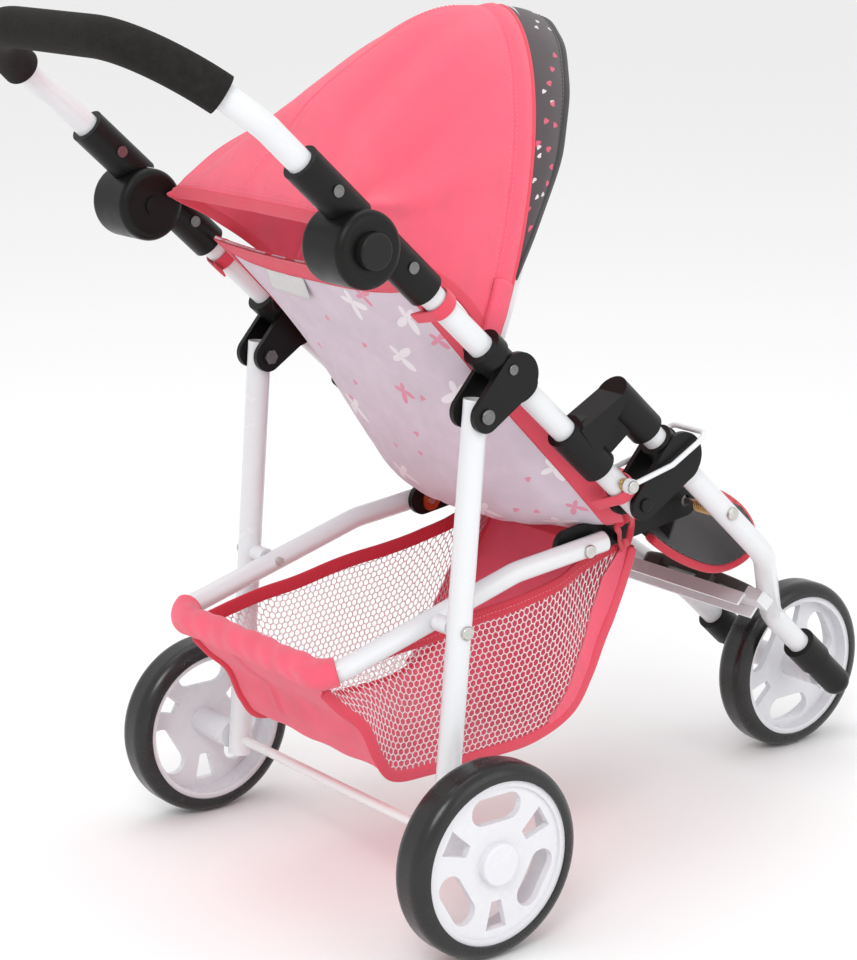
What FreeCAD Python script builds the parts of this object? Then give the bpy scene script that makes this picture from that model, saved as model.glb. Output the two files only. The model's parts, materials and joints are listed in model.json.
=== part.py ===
"""Doll stroller: a folding three-wheeled doll jogger, one STEP file for each sub-part.

Frame: millimetres, +Z up, forward is -Y, the stroller's right side is -X. The origin is on the floor
under the middle of the whole stroller. Parts are drawn with y = 0 at the rear axle and moved on saving.

The side tubes of the frame lie in planes of constant X. Their own axes are used to place parts: s runs up the
main tube from the fold pivot, and n is square to it, pointing up and forward.
"""
import FreeCAD
import Part
import math
import os

V = FreeCAD.Vector
SIDES = {"right": -1, "left": 1}

# ---- driving dimensions -------------------------------------------------------------------------------
FIT = 0.05                     # radial clearance of a running fit
GAP = 0.4                      # clearance between parts that pass each other

middle_y = -147.34             # middle of the stroller's length, measured from the rear axle
wheel_radius = 65.0
tyre_width = 28.0
rim_radius = 54.4
track = 323.0                  # between the middles of the rear wheels
axle_d = 7.0

tube_d = 16.0
tube_wall = 1.2
frame_x = 118.0                # middle of the side tubes
tilt = math.radians(42.8)      # slope of the main tubes
fold_pivot = (-156.5, 261.0)   # y, z of the pivot between main tube and front frame

main_tube_low = -8.0           # s of the main tube's ends
main_tube_high = 262.0
front_n = 41.0                 # the front tubes run this far above the main tubes
front_tube_high = 24.6
fork_x = 46.0                  # middle of the fork arms
fork_bend_s = (-128.0, -240.0)
fork_end_s = -338.0

cheek_in = tube_d / 2 + GAP    # brackets hold a tube between two cheeks
cheek_out = 12.2
pivot_d = 6.0
bolt_head_d = 10.0

leg_bracket_s = (128.0, 162.0)
leg_pivot = (148.8, -33.0)     # s, n
fold_bracket_s = (-23.0, 13.0)

adjuster_axis = (291.0, -13.8)  # s, n of the handle's pivot
drum_radius = 23.0
drum_depth = 20.0
sleeve_radius = 11.8
sleeve_reach = 60.0            # from the adjuster's axis to the sleeves' mouths
button_radius = 11.0
button_travel = 4.0

handle_bend_s = 380.0
handle_bend = math.radians(5.6)
handle_corner = 80.0
handle_reach = 81.0            # from the bend to the cross bar
grip_radius = 12.0
grip_start = math.radians(21.0) # how far round each corner the foam starts

basket_tube_d = 14.0
basket_x = 88.0
basket_pivot = (-12.45, 201.5) # y, z where the basket tube hangs on the legs
basket_rear = (68.0, 178.0)
basket_knee = (-82.0, 219.5)
basket_end = (-158.0, 227.5)
link_pivot_s = -74.0           # on the front tubes
plate_thick = 4.0
plate_radius = 11.0

hood_pivot = (-50.0, 374.0)
hood_thick = 2.0


# ---- placing and simple solids ------------------------------------------------------------------------
def at(s, n=0.0, x=0.0):
    """The point at s along and n above the main tube's axis, at x."""
    y, z = fold_pivot
    return V(x, y + s * math.cos(tilt) - n * math.sin(tilt), z + s * math.sin(tilt) + n * math.cos(tilt))


def yz(s, n=0.0):
    """The same point as a (y, z) pair."""
    p = at(s, n)
    return p.y, p.z


def along(sign=1.0):
    """Unit vector up the main tubes, or down them."""
    return V(0, math.cos(tilt), math.sin(tilt)) * sign


def rod(start, end, radius):
    """A round bar between two points."""
    return Part.makeCylinder(radius, (end - start).Length, start, end - start)


def ring(start, end, outer, inner):
    """A round sleeve between two points."""
    return rod(start, end, outer).cut(rod(start, end, inner))


def cross_rod(place, x0, x1, radius):
    """A round bar along X through the (y, z) pair."""
    low, high = min(x0, x1), max(x0, x1)
    return Part.makeCylinder(radius, high - low, V(low, place[0], place[1]), V(1, 0, 0))


def plate(outline, x0, x1):
    """A flat plate: the (y, z) outline, from x0 to x1."""
    low, high = min(x0, x1), max(x0, x1)
    points = [V(low, y, z) for y, z in outline]
    return Part.Face(Part.makePolygon(points + points[:1])).extrude(V(high - low, 0, 0))


def link(first, first_r, second, second_r, x0, x1):
    """A plate with two round ends and straight tangent sides."""
    dy, dz = second[0] - first[0], second[1] - first[1]
    length = math.hypot(dy, dz)
    lead = math.atan2(dz, dy)
    open_angle = math.acos((first_r - second_r) / length)
    corners = []
    for (cy, cz), r, turn in (
        (first, first_r, open_angle),
        (second, second_r, open_angle),
        (second, second_r, -open_angle),
        (first, first_r, -open_angle),
    ):
        corners.append((cy + r * math.cos(lead + turn), cz + r * math.sin(lead + turn)))
    body = plate(corners, x0, x1)
    return body.fuse([cross_rod(first, x0, x1, first_r), cross_rod(second, x0, x1, second_r)]).removeSplitter()


def bent_path(points, radii):
    """A wire through the points with each inner corner rounded to its radius."""
    edges, last = [], points[0]
    for before, corner, after, radius in zip(points, points[1:], points[2:], radii):
        a = (before - corner).normalize()
        b = (after - corner).normalize()
        half = a.getAngle(b) / 2
        reach = radius / math.tan(half)
        start, end = corner + a * reach, corner + b * reach
        middle = corner + (a + b).normalize() * (radius / math.sin(half) - radius)
        if (start - last).Length > 1e-6:
            edges.append(Part.makeLine(last, start))
        edges.append(Part.Arc(start, middle, end).toShape())
        last = end
    edges.append(Part.makeLine(last, points[-1]))
    return Part.Wire(edges)


def sweep_round(path, radius):
    """A round bar along a wire."""
    first = path.Edges[0]
    start = first.valueAt(first.FirstParameter)
    circle = Part.Wire(Part.makeCircle(radius, start, first.tangentAt(first.FirstParameter)))
    bar = path.makePipeShell([circle], True, False)
    if bar.Volume < 0:
        bar.reverse()
    return bar


def bent_tube(points, radii, outer_d, wall=tube_wall):
    """A round tube along the points."""
    path = bent_path(points, radii)
    return sweep_round(path, outer_d / 2).cut(sweep_round(path, outer_d / 2 - wall))


def coil(centre, axis, radius, wire_d, length, turns):
    """A coil spring's wire, from centre along axis."""
    helix = Part.makeHelix(length / turns, length, radius)
    profile = Part.Wire(Part.makeCircle(wire_d / 2, V(radius, 0, 0), V(0, 1, 0)))
    spring = helix.makePipeShell([profile], True, True)
    spring.Placement = FreeCAD.Placement(centre, FreeCAD.Rotation(V(0, 0, 1), axis))
    return spring


def bolt(place, x_head, x_tip, shank_r, head_r=bolt_head_d / 2, head_h=2.4):
    """A dome-headed bolt along X; its head stands outside x_head."""
    out = 1 if x_head > x_tip else -1
    head = cross_rod(place, x_head, x_head + out * head_h, head_r)
    rim = [e for e in head.Edges if abs(e.CenterOfMass.x - x_head - out * head_h) < 1e-6]
    head = head.makeFillet(head_h * 0.6, rim)
    return cross_rod(place, x_head, x_tip, shank_r).fuse(head).removeSplitter()


def nut(place, x_face, out, across=10.0, depth=4.0, hole_r=0.0):
    """A hexagon nut on the X axis through place."""
    corners = []
    for k in range(6):
        turn = math.radians(60 * k)
        reach = across / 2 / math.cos(math.pi / 6)
        corners.append((place[0] + reach * math.cos(turn), place[1] + reach * math.sin(turn)))
    body = plate(corners, x_face, x_face + out * depth)
    return body.cut(cross_rod(place, x_face, x_face + out * depth, hole_r)) if hole_r else body


def save(name, *solids):
    """Write one sub-part, as one solid or a group of separate ones."""
    shape = solids[0].copy() if len(solids) == 1 else Part.makeCompound(list(solids))
    shape.translate(V(0, -middle_y, 0))
    shape.exportStep("parts/" + name + ".step")


# ---- main frame -----------------------------------------------------------------------------------------
def main_tube(side):
    """The straight side tube, from the fold pivot up into the handle adjuster."""
    x = side * frame_x
    tube = ring(at(main_tube_low, 0, x), at(main_tube_high, 0, x), tube_d / 2, tube_d / 2 - tube_wall)
    holes = [cross_rod(yz(0), x - 20, x + 20, pivot_d / 2 + FIT)]
    for s, r in ((catch_pivot_s, catch_pin_r), (leg_rivet_s, 2.0), (adjuster_axis[0] - screw_s, 2.0)):
        holes.append(cross_rod(yz(s), x - 20, x + 20, r))
    return tube.cut(Part.makeCompound(holes))


def clasp_bracket(side, saddle_s, saddle_n, lobe, swell):
    """A plastic bracket: a saddle round one tube, and two cheeks that hold another tube at the lobe."""
    x = side * frame_x
    middle = ((saddle_s[0] + saddle_s[1]) / 2, saddle_n)
    saddle = rod(at(saddle_s[0], saddle_n, x), at(saddle_s[1], saddle_n, x), tube_d / 2 + 3.4)
    body = saddle
    for inner, outer in ((cheek_in, cheek_out), (-cheek_in, -cheek_out)):
        body = body.fuse(link(yz(*middle), swell, yz(*lobe), 10.4, x + inner, x + outer))
    body = body.cut(rod(at(saddle_s[0] - 9, saddle_n, x), at(saddle_s[1] + 9, saddle_n, x), tube_d / 2 + 0.02))
    return body.removeSplitter()


def leg_bracket(side):
    """Holds the top of the rear leg under the main tube."""
    x = side * frame_x
    body = clasp_bracket(side, leg_bracket_s, 0.0, leg_pivot, 15.0)
    body = body.cut(cross_rod(yz(*leg_pivot), x - 20, x + 20, pivot_d / 2))
    return body.cut(cross_rod(yz(leg_rivet_s), x - 20, x + 20, 2.0))


def adjuster_sleeve(side, direction):
    """One sleeve of the handle adjuster, with the half of the drum that turns with it.

    direction is -1 for the half on the main frame, whose drum faces inward, and 1 for the handle's half.
    """
    x = side * frame_x
    s_axis, n_axis = adjuster_axis
    drum_side = side * direction
    drum = cross_rod(yz(s_axis, n_axis), x, x + drum_side * drum_depth, drum_radius)
    rim = [e for e in drum.Edges if abs(e.CenterOfMass.x - x - drum_side * drum_depth) < 1e-6]
    drum = drum.makeFillet(5.0, rim)
    mouth = at(s_axis + direction * sleeve_reach, 0, x)
    root = at(s_axis + direction * 9.0, 0, x)
    other_drum = cross_rod(yz(s_axis, n_axis), x, x - drum_side * 40, drum_radius + GAP)
    sleeve = rod(root, mouth, sleeve_radius).cut(other_drum)
    body = drum.fuse(sleeve)
    # the drum stays clear of the other sleeve, which is cut back to the same circle
    body = body.cut(rod(at(s_axis + direction * 26.0, 0, x), mouth + along(direction), tube_d / 2 + 0.02))
    body = body.cut(cross_rod(yz(s_axis + direction * screw_s), x - 20, x + 20, 2.0))
    body = body.cut(cross_rod(yz(s_axis, n_axis), x - 30, x + 30, 4.0))
    if direction < 0:
        return body.removeSplitter()
    well = cross_rod(yz(s_axis, n_axis), x + side * 6.0, x + side * 30.0, button_radius + 0.3)
    return body.cut(well).removeSplitter()


def adjuster_bolt(side):
    """The bolt that holds the drum's halves together, with its head in the inner half."""
    x = side * frame_x
    place = yz(*adjuster_axis)
    head = cross_rod(place, x - side * (drum_depth + 1.4), x - side * drum_depth, 6.0)
    shank = cross_rod(place, x - side * drum_depth, x + side * 6.0, 4.0 - FIT)
    tip = cross_rod(place, x + side * 6.0, x + side * 9.0, 3.0)
    return head.fuse([shank, tip]).removeSplitter()


def sleeve_screw(side, s):
    """A screw across a sleeve and the tube in it; it shows on the outer and the inner side."""
    x = side * frame_x
    reach = sleeve_radius + 0.2
    shank = cross_rod(yz(s), x - side * reach, x + side * reach, 2.0)
    heads = [cross_rod(yz(s), x + k * reach, x + k * (reach + 0.9), 3.6) for k in (-1, 1)]
    return shank.fuse(heads).removeSplitter()


leg_rivet_s = 152.0
screw_s = 36.0
catch_pivot_s = 24.0
catch_pin_r = 2.5
catch_arm_x = 16.5
catch_wire_r = 1.8


def save_main_frame():
    """Everything that stays with the main tubes."""
    for name, side in SIDES.items():
        x = side * frame_x
        save("main_tube_" + name, main_tube(side))
        save("leg_bracket_" + name, leg_bracket(side))
        save("adjuster_base_" + name, adjuster_sleeve(side, -1))
    both = SIDES.values()
    save("adjuster_bolts", *[adjuster_bolt(k) for k in both])
    save("sleeve_screws_low", *[sleeve_screw(k, adjuster_axis[0] - screw_s) for k in both])
    save("leg_pivot_bolts", *[
        bolt(yz(*leg_pivot), k * (frame_x + cheek_out), k * (frame_x - cheek_out - 2), pivot_d / 2).fuse(
            nut(yz(*leg_pivot), k * (frame_x - cheek_out), -k, 9.0, 3.0)) for k in both])
    save("leg_bracket_rivets", *[
        bolt(yz(leg_rivet_s), k * (frame_x + cheek_out), k * (frame_x - cheek_out), 2.0, 3.4, 1.2) for k in both])
    pin_x = -frame_x
    save("catch_pin", bolt(yz(catch_pivot_s), pin_x - catch_arm_x - 2.4, pin_x + catch_arm_x + 2.4, catch_pin_r,
                           4.2, 1.8))


# ---- handle ---------------------------------------------------------------------------------------------
def handle_points():
    """The push bar's path: up one side, over the arch, and down the other."""
    s_low = adjuster_axis[0] + 28.0
    slope = tilt - handle_bend
    reach = V(0, math.cos(slope), math.sin(slope)) * handle_reach
    knee = at(handle_bend_s)
    points = []
    for side in (-1, 1):
        foot, bend = at(s_low, 0, side * frame_x), knee + V(side * frame_x, 0, 0)
        corner = bend + reach
        points += [foot, bend, corner] if side < 0 else [corner, bend, foot]
    return points


def save_handle():
    """The push bar with its grip, the handle's half of each adjuster, and the buttons."""
    points = handle_points()
    corner_r = handle_reach - 6.0
    radii = [40.0, corner_r, corner_r, 40.0]
    save("handle_tube", bent_tube(points, radii, tube_d).cut(
        Part.makeCompound([cross_rod(yz(adjuster_axis[0] + screw_s), k * frame_x - 20, k * frame_x + 20, 2.0)
                           for k in SIDES.values()])))
    middle = handle_grip_path(points, corner_r)
    foam = sweep_round(middle, grip_radius)
    save("handle_grip", foam.cut(sweep_round(middle, tube_d / 2 + 0.02)))
    for name, side in SIDES.items():
        save("adjuster_cap_" + name, adjuster_sleeve(side, 1))
        save("adjuster_button_" + name, adjuster_button(side))
        save("button_spring_" + name, button_spring(side))
    save("sleeve_screws_high", *[sleeve_screw(k, adjuster_axis[0] + screw_s) for k in SIDES.values()])


def handle_grip_path(points, corner_r):
    """The part of the push bar's path that the foam covers: the cross bar and most of both corners."""
    slope = tilt - handle_bend
    arm = V(0, math.cos(slope), math.sin(slope))
    edges = []
    for corner, side in ((points[2], -1), (points[3], 1)):
        inward = V(-side, 0, 0)
        centre = corner - arm * corner_r + inward * corner_r
        end = corner + inward * corner_r
        start, middle = [
            centre - inward * corner_r * math.cos(turn) + arm * corner_r * math.sin(turn)
            for turn in (grip_start, (grip_start + math.pi / 2) / 2)
        ]
        edges.append((Part.Arc(start, middle, end).toShape(), end))
    bar = Part.makeLine(edges[0][1], edges[1][1])
    return Part.Wire(Part.__sortEdges__([edges[0][0], bar, edges[1][0]]))


def adjuster_button(side):
    """The round release button: a cap with a rim behind it."""
    place = yz(*adjuster_axis)
    x = side * frame_x
    face = cross_rod(place, x + side * 11.0, x + side * (drum_depth + 6.0), button_radius)
    edge = [e for e in face.Edges if abs(e.CenterOfMass.x - x - side * (drum_depth + 6.0)) < 1e-6]
    face = face.makeFillet(1.6, edge)
    return face.cut(cross_rod(place, x + side * 11.0, x + side * 18.0, 7.0))


def button_spring(side):
    """The coil behind the button, at its pressed length."""
    y, z = yz(*adjuster_axis)
    return coil(V(side * (frame_x + 7.0), y, z), V(side, 0, 0), 4.4, 1.4, 6.0, 3)


# ---- rear legs and wheels -------------------------------------------------------------------------------
def rear_leg(side):
    """The straight leg, from its pivot down to the axle."""
    x = side * frame_x
    top, foot = at(*leg_pivot, x), V(x, 0, wheel_radius)
    run = (foot - top).normalize()
    tube = ring(top - run * 9.0, foot + run * 11.0, tube_d / 2, tube_d / 2 - tube_wall)
    holes = [cross_rod(yz(*leg_pivot), x - 20, x + 20, pivot_d / 2 + FIT),
             cross_rod((0, wheel_radius), x - 20, x + 20, axle_d / 2),
             cross_rod(basket_pivot, x - 20, x + 20, pivot_d / 2)]
    return tube.cut(Part.makeCompound(holes))


def basket_bolt(side):
    """Pins the basket tube to the leg."""
    tip = side * (basket_x - basket_tube_d / 2 - 1.5)
    return bolt(basket_pivot, side * (frame_x + tube_d / 2), tip, pivot_d / 2, 4.6, 2.4)


def push_nut(place, x, out):
    """A sprung cap nut that keeps a wheel on its axle."""
    return cross_rod(place, x, x + out * 3.0, 7.0).cut(cross_rod(place, x, x + out * 2.0, axle_d / 2))


def save_rear_legs():
    """Legs, axle and what holds the basket tube."""
    both = SIDES.values()
    for name, side in SIDES.items():
        save("rear_leg_" + name, rear_leg(side))
    end_x = track / 2 + wheel_face + 0.3
    save("rear_axle", cross_rod((0, wheel_radius), -end_x, end_x, axle_d / 2))
    save("basket_bolts", *[basket_bolt(k) for k in both])
    inner, outer = basket_x + basket_tube_d / 2 + GAP, frame_x - tube_d / 2
    save("basket_spacers", *[
        cross_rod(basket_pivot, k * (inner + 1.2), k * (outer + 0.2), 5.5).cut(
            cross_rod(basket_pivot, k * inner, k * (outer + 1), pivot_d / 2)).cut(
            rod(at(*leg_pivot, k * frame_x), V(k * frame_x, 0, wheel_radius), tube_d / 2)) for k in both])
    save("rear_push_nuts", *[push_nut((0, wheel_radius), k * (end_x - 2.0), k) for k in both])


wheel_face = 12.0              # from the wheel's middle to the rim's outer face
web_thick = 5.0
hub_radius = 10.0


def wheel_openings(place, x0, x1, phase):
    """Three oval and three keystone windows between the hub and the rim, in turn."""
    cuts = []
    for k in range(3):
        turn = math.radians(phase + 120 * k)
        out_y, out_z = math.cos(turn), math.sin(turn)
        centre = (place[0] + 36.0 * out_y, place[1] + 36.0 * out_z)
        half = 10.5
        ends = [(centre[0] - j * half * out_z, centre[1] + j * half * out_y) for j in (-1, 1)]
        cuts.append(link(ends[0], 9.0, ends[1], 9.0 - 1e-3, x0, x1))
        turn += math.radians(60)
        keystone = []
        for radius, half_angle in ((26.0, 8.5), (26.0, -8.5), (45.5, -10.5), (45.5, 10.5)):
            a = turn + math.radians(half_angle)
            keystone.append((place[0] + radius * math.cos(a), place[1] + radius * math.sin(a)))
        cuts.append(plate(keystone, x0, x1))
    return Part.makeCompound(cuts)


def wheel_rim(x, place, web_x, hub_x, phase):
    """Rim band, pierced web and hub barrel. web_x and hub_x are (low, high) in X."""
    band = cross_rod(place, x - wheel_face, x + wheel_face, rim_radius).cut(
        cross_rod(place, x - wheel_face, x + wheel_face, rim_radius - 4.0))
    web = cross_rod(place, web_x[0], web_x[1], rim_radius - 3.0)
    web = web.cut(wheel_openings(place, web_x[0] - 1, web_x[1] + 1, phase))
    hub = cross_rod(place, hub_x[0], hub_x[1], hub_radius)
    bore = cross_rod(place, hub_x[0] - 9, hub_x[1] + 9, axle_d / 2 + FIT)
    return band.fuse([web, hub]).cut(bore).removeSplitter()


def tyre(x, place):
    """A round-shouldered solid tyre."""
    body = cross_rod(place, x - tyre_width / 2, x + tyre_width / 2, wheel_radius)
    rims = [e for e in body.Edges if hasattr(e.Curve, "Radius") and abs(e.Curve.Radius - wheel_radius) < 1e-6
            and abs(abs(e.CenterOfMass.x - x) - tyre_width / 2) < 1e-6]
    body = body.makeFillet(9.0, rims)
    return body.cut(cross_rod(place, x - tyre_width, x + tyre_width, rim_radius + 0.02))


def hub_cap(side, place):
    """The round cover over the axle's end."""
    face = side * (track / 2 + wheel_face)
    cap = cross_rod(place, face - side * 2.0, face + side * 4.0, 14.0)
    rim = [e for e in cap.Edges if abs(e.CenterOfMass.x - face - side * 4.0) < 1e-6]
    cap = cap.makeFillet(1.8, rim)
    return cap.cut(cross_rod(place, face - side * 2.0, face + side * 2.0, 9.0))


def save_wheels():
    """Both rear wheels and the front wheel."""
    place = (0.0, wheel_radius)
    for name, side in SIDES.items():
        x = side * track / 2
        outer = x + side * (wheel_face - 2.0)
        web = sorted((outer, outer - side * web_thick))
        hub = sorted((x + side * (wheel_face - 4.5), side * (frame_x + tube_d / 2 + 1.0)))
        save("rear_rim_" + name, wheel_rim(x, place, web, hub, 90.0))
        save("rear_tyre_" + name, tyre(x, place))
        save("hub_cap_" + name, hub_cap(side, place))
    place = front_axle
    save("front_rim", wheel_rim(0.0, place, (-web_thick / 2, web_thick / 2), (-front_hub_x, front_hub_x), 30.0))
    save("front_tyre", tyre(0.0, place))


front_axle_s = (wheel_radius - fold_pivot[1] - front_n * math.cos(tilt)) / math.sin(tilt)
front_axle = yz(front_axle_s, front_n)
front_hub_x = 33.0


# ---- front frame ----------------------------------------------------------------------------------------
def fork_x_at(s):
    """X of a front tube's middle inside its inward bend."""
    first, last = fork_bend_s
    share = min(max((first - s) / (first - last), 0.0), 1.0)
    return frame_x + (fork_x - frame_x) * share


def front_tube_points(side):
    """From the lock collar down through the fold bracket, inward, and down to the front axle."""
    first, last = fork_bend_s
    return [at(front_tube_high, front_n, side * frame_x), at(first, front_n, side * frame_x),
            at(last, front_n, side * fork_x), at(front_axle_s + 4.0, front_n, side * fork_x)]


def front_tube(side):
    """A front tube with its holes."""
    tube = bent_tube(front_tube_points(side), [48.0, 48.0], tube_d)
    holes = [cross_rod(yz(link_pivot_s, front_n), side * frame_x - 20, side * frame_x + 20, 2.5),
             cross_rod(yz(-5.0, front_n), side * frame_x - 20, side * frame_x + 20, 2.0)]
    return tube.cut(Part.makeCompound(holes))


def fold_bracket(side):
    """Clasps the front tube and holds the main tube's lower end between its cheeks."""
    x = side * frame_x
    body = clasp_bracket(side, fold_bracket_s, front_n, (0.0, 0.0), 17.0)
    body = body.cut(cross_rod(yz(0), x - 20, x + 20, pivot_d / 2))
    return body.cut(cross_rod(yz(-5.0, front_n), x - 20, x + 20, 2.0))


def fork_cap(side):
    """The stepped plastic end on a fork arm; the front axle ends in it."""
    x = side * fork_x
    mouth, step, end = at(-282.0, front_n, x), at(-306.0, front_n, x), at(fork_end_s, front_n, x)
    body = rod(mouth, step, 12.5).fuse([rod(step, end, 10.8), Part.makeSphere(10.8, end)])
    body = body.cut(rod(mouth - along(-1), at(front_axle_s + 4.0, front_n, x), tube_d / 2 + 0.02))
    return body.cut(cross_rod(front_axle, x - side * 20, x + side * 6.0, axle_d / 2)).removeSplitter()


def link_bolt(side):
    """Stands inward from the front tube; the link plate's eye comes up to its tip."""
    tip = side * (basket_x - basket_tube_d / 2 + GAP)
    return bolt(yz(link_pivot_s, front_n), side * (frame_x + tube_d / 2), tip, 2.5, 4.6, 2.4)


def link_spring(side):
    """The brass coil on the link bolt."""
    y, z = yz(link_pivot_s, front_n)
    return coil(V(side * 93.0, y, z), V(side, 0, 0), 4.4, 1.5, 16.0, 8)


def sn_box(s0, s1, n0, n1, x0, x1):
    """A box square to the main tube's slope."""
    return plate([yz(s0, n0), yz(s1, n0), yz(s1, n1), yz(s0, n1)], x0, x1)


footrest_s = -185.0
footrest_n = (17.0, 27.0)
footrest_place = (-203.0, 39.0)  # s, n of the step's middle
footrest_half = (56.0, 25.0)
footrest_thick = 8.0
footrest_tilt = 33.0
footrest_screw_x = 27.0


def footrest_bar():
    """A white channel across the fork arms' undersides, with a raised lug at each end."""
    low, high = footrest_n
    half = fork_x_at(footrest_s) - 6.0
    start, end = footrest_s - 10.0, footrest_s + 10.0
    body = sn_box(start, end, high - 2.0, high, -half, half)
    for s in (start, end - 2.0):
        body = body.fuse(sn_box(s, s + 2.0, low, high, -half, half))
    top = front_n - tube_d / 2
    for side in SIDES.values():
        body = body.fuse(sn_box(start + 3, end - 3, high - 2.0, top + 1.0, side * (half - 3), side * (half + 12)))
    for side in SIDES.values():
        body = body.cut(front_tube_solid(side))
    return body.removeSplitter()


def front_tube_solid(side):
    """The space a front tube takes."""
    return sweep_round(bent_path(front_tube_points(side), [48.0, 48.0]), tube_d / 2)


def footrest_plate():
    """An oval step with a curved groove in its top and a block under it that sits on the bar."""
    long_half, short_half = footrest_half
    oval = Part.Ellipse(V(0, 0, 0), long_half, short_half).toShape()
    body = Part.Face(Part.Wire(oval)).extrude(V(0, 0, footrest_thick))
    top = [e for e in body.Edges if abs(e.CenterOfMass.z - footrest_thick) < 1e-6 and e.Length > 50]
    body = body.makeFillet(2.0, top)
    groove = Part.makeTorus(70.0, 0.8, V(0, -64.0, footrest_thick), V(0, 0, 1))
    keep = Part.makeBox(56, 40, 8, V(-28, -12, footrest_thick - 4))
    body = body.cut(groove.common(keep))
    turn = FreeCAD.Rotation(V(1, 0, 0), footrest_tilt)
    body.Placement = FreeCAD.Placement(at(*footrest_place) - turn.multVec(V(0, 0, footrest_thick / 2)), turn)
    for k in (-1, 1):
        x = k * footrest_screw_x
        body = body.fuse(sn_box(footrest_s - 6, footrest_s + 6, footrest_n[1], footrest_n[1] + 8, x - 7, x + 7))
    return body.removeSplitter()


def footrest_screw(side):
    """From under the bar into the step."""
    x = side * footrest_screw_x
    under = at(footrest_s, footrest_n[1] - 2.0, x)
    down = at(footrest_s, footrest_n[1] - 4.2, x)
    return rod(down, under, 4.0).fuse(rod(under, at(footrest_s, footrest_n[1] + 6.0, x), 1.6)).removeSplitter()


def save_front_frame():
    """Front tubes, fold brackets, fork ends, axle and footrest."""
    both = SIDES.values()
    for name, side in SIDES.items():
        save("front_tube_" + name, front_tube(side))
        save("fold_bracket_" + name, fold_bracket(side))
        save("fork_cap_" + name, fork_cap(side))
    save("fold_pivot_bolts", *[
        bolt(yz(0), k * (frame_x + cheek_out), k * (frame_x - cheek_out - 1), pivot_d / 2, 4.6, 1.6).fuse(
            nut(yz(0), k * (frame_x - cheek_out), -k, 9.0, 2.0)) for k in both])
    save("fold_bracket_rivets", *[
        cross_rod(yz(-5.0, front_n), k * (frame_x - cheek_out), k * (frame_x + cheek_out), 2.0) for k in both])
    save("link_bolts", *[link_bolt(k) for k in both])
    save("link_springs", *[link_spring(k) for k in both])
    save("front_axle", cross_rod(front_axle, -(fork_x + 5.0), fork_x + 5.0, axle_d / 2))
    save("front_spacers", *[
        cross_rod(front_axle, k * (front_hub_x + 0.4), k * (fork_x - 10.9), 6.0).cut(
            cross_rod(front_axle, k * front_hub_x, k * fork_x, axle_d / 2)) for k in both])
    step = footrest_plate()
    screws = [footrest_screw(k) for k in both]
    bar = footrest_bar()
    for screw in screws:
        bar = bar.cut(screw)
        step = step.cut(screw)
    save("footrest_bar", bar)
    save("footrest_plate", step)
    save("footrest_screws", *screws)


# ---- fold lock ------------------------------------------------------------------------------------------
def lock_slider(side):
    """Slides on the main tube; its capped barrel sits over the end of the front tube."""
    x = side * frame_x
    outer = tube_d / 2 + 4.0
    low = rod(at(42.0, 0, x), at(82.0, 0, x), outer)
    high = rod(at(front_tube_high + GAP, front_n, x), at(67.0, front_n, x), outer)
    web = plate([yz(44, 6), yz(80, 6), yz(67, front_n - 4), yz(38, front_n - 4)], x - 5.0, x + 5.0)
    end = plate([yz(56, 0), yz(80, 4), yz(67, front_n), yz(62, front_n)], x - outer, x + outer)
    body = low.fuse([high, web, end])
    body = body.cut(rod(at(30.0, 0, x), at(100.0, 0, x), tube_d / 2 + FIT))
    return body.cut(rod(at(0.0, front_n, x), at(61.0, front_n, x), tube_d / 2 + GAP)).removeSplitter()


def catch_path():
    """The wire catch: from one end of its pin, over the front tube, and back to the other end."""
    arm = catch_arm_x
    points = []
    for x in (-frame_x - arm, -frame_x + arm):
        leg = [at(catch_pivot_s, 0, x), at(3.0, 31.0, x), at(-5.0, 54.0, x), at(-6.5, 63.0, x)]
        points += leg if x < -frame_x else leg[::-1]
    return bent_path(points, [10.0, 12.0, 4.5, 4.5, 12.0, 10.0])


def safety_catch():
    """The bent wire, with an eye round each end of its pin."""
    body = sweep_round(catch_path(), catch_wire_r)
    place = yz(catch_pivot_s)
    for out in (-1, 1):
        middle = -frame_x + out * catch_arm_x
        eye = cross_rod(place, middle - catch_wire_r - 0.2, middle + catch_wire_r + 0.2, catch_pin_r + 2.4)
        body = body.fuse(eye)
    return body.cut(cross_rod(place, -frame_x - 30, -frame_x + 30, catch_pin_r + FIT))


def catch_spring():
    """The brass torsion spring on the catch's pin."""
    y, z = yz(catch_pivot_s)
    return coil(V(-frame_x - tube_d / 2 - 4.6, y, z), V(1, 0, 0), 3.6, 1.0, 3.6, 3)


# ---- basket ---------------------------------------------------------------------------------------------
def basket_frame_points():
    """The tube's U: forward end, knee, rear corners, and back along the other side."""
    points = []
    for side in (-1, 1):
        x = side * basket_x
        run = [V(x, *basket_end), V(x, *basket_knee), V(x, *basket_rear)]
        points += run if side < 0 else run[::-1]
    return points


def link_plate(side):
    """The flat arm that carries the basket tube on to the front tube."""
    inner = side * (basket_x - basket_tube_d / 2 - GAP / 2 - plate_thick)
    outer = side * (basket_x - basket_tube_d / 2 - GAP / 2)
    body = link(plate_rear, plate_radius, yz(link_pivot_s, front_n), plate_radius - 1e-3, inner, outer)
    body = body.cut(cross_rod(yz(link_pivot_s, front_n), inner - 9, inner + 9, 4.0))
    return body.cut(cross_rod(basket_end_bolt, inner - 9, inner + 9, 2.5))


plate_rear = (-134.0, 226.5)
basket_end_bolt = (-140.0, 225.2)
basket_half = 74.0
cloth = 2.4


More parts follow.
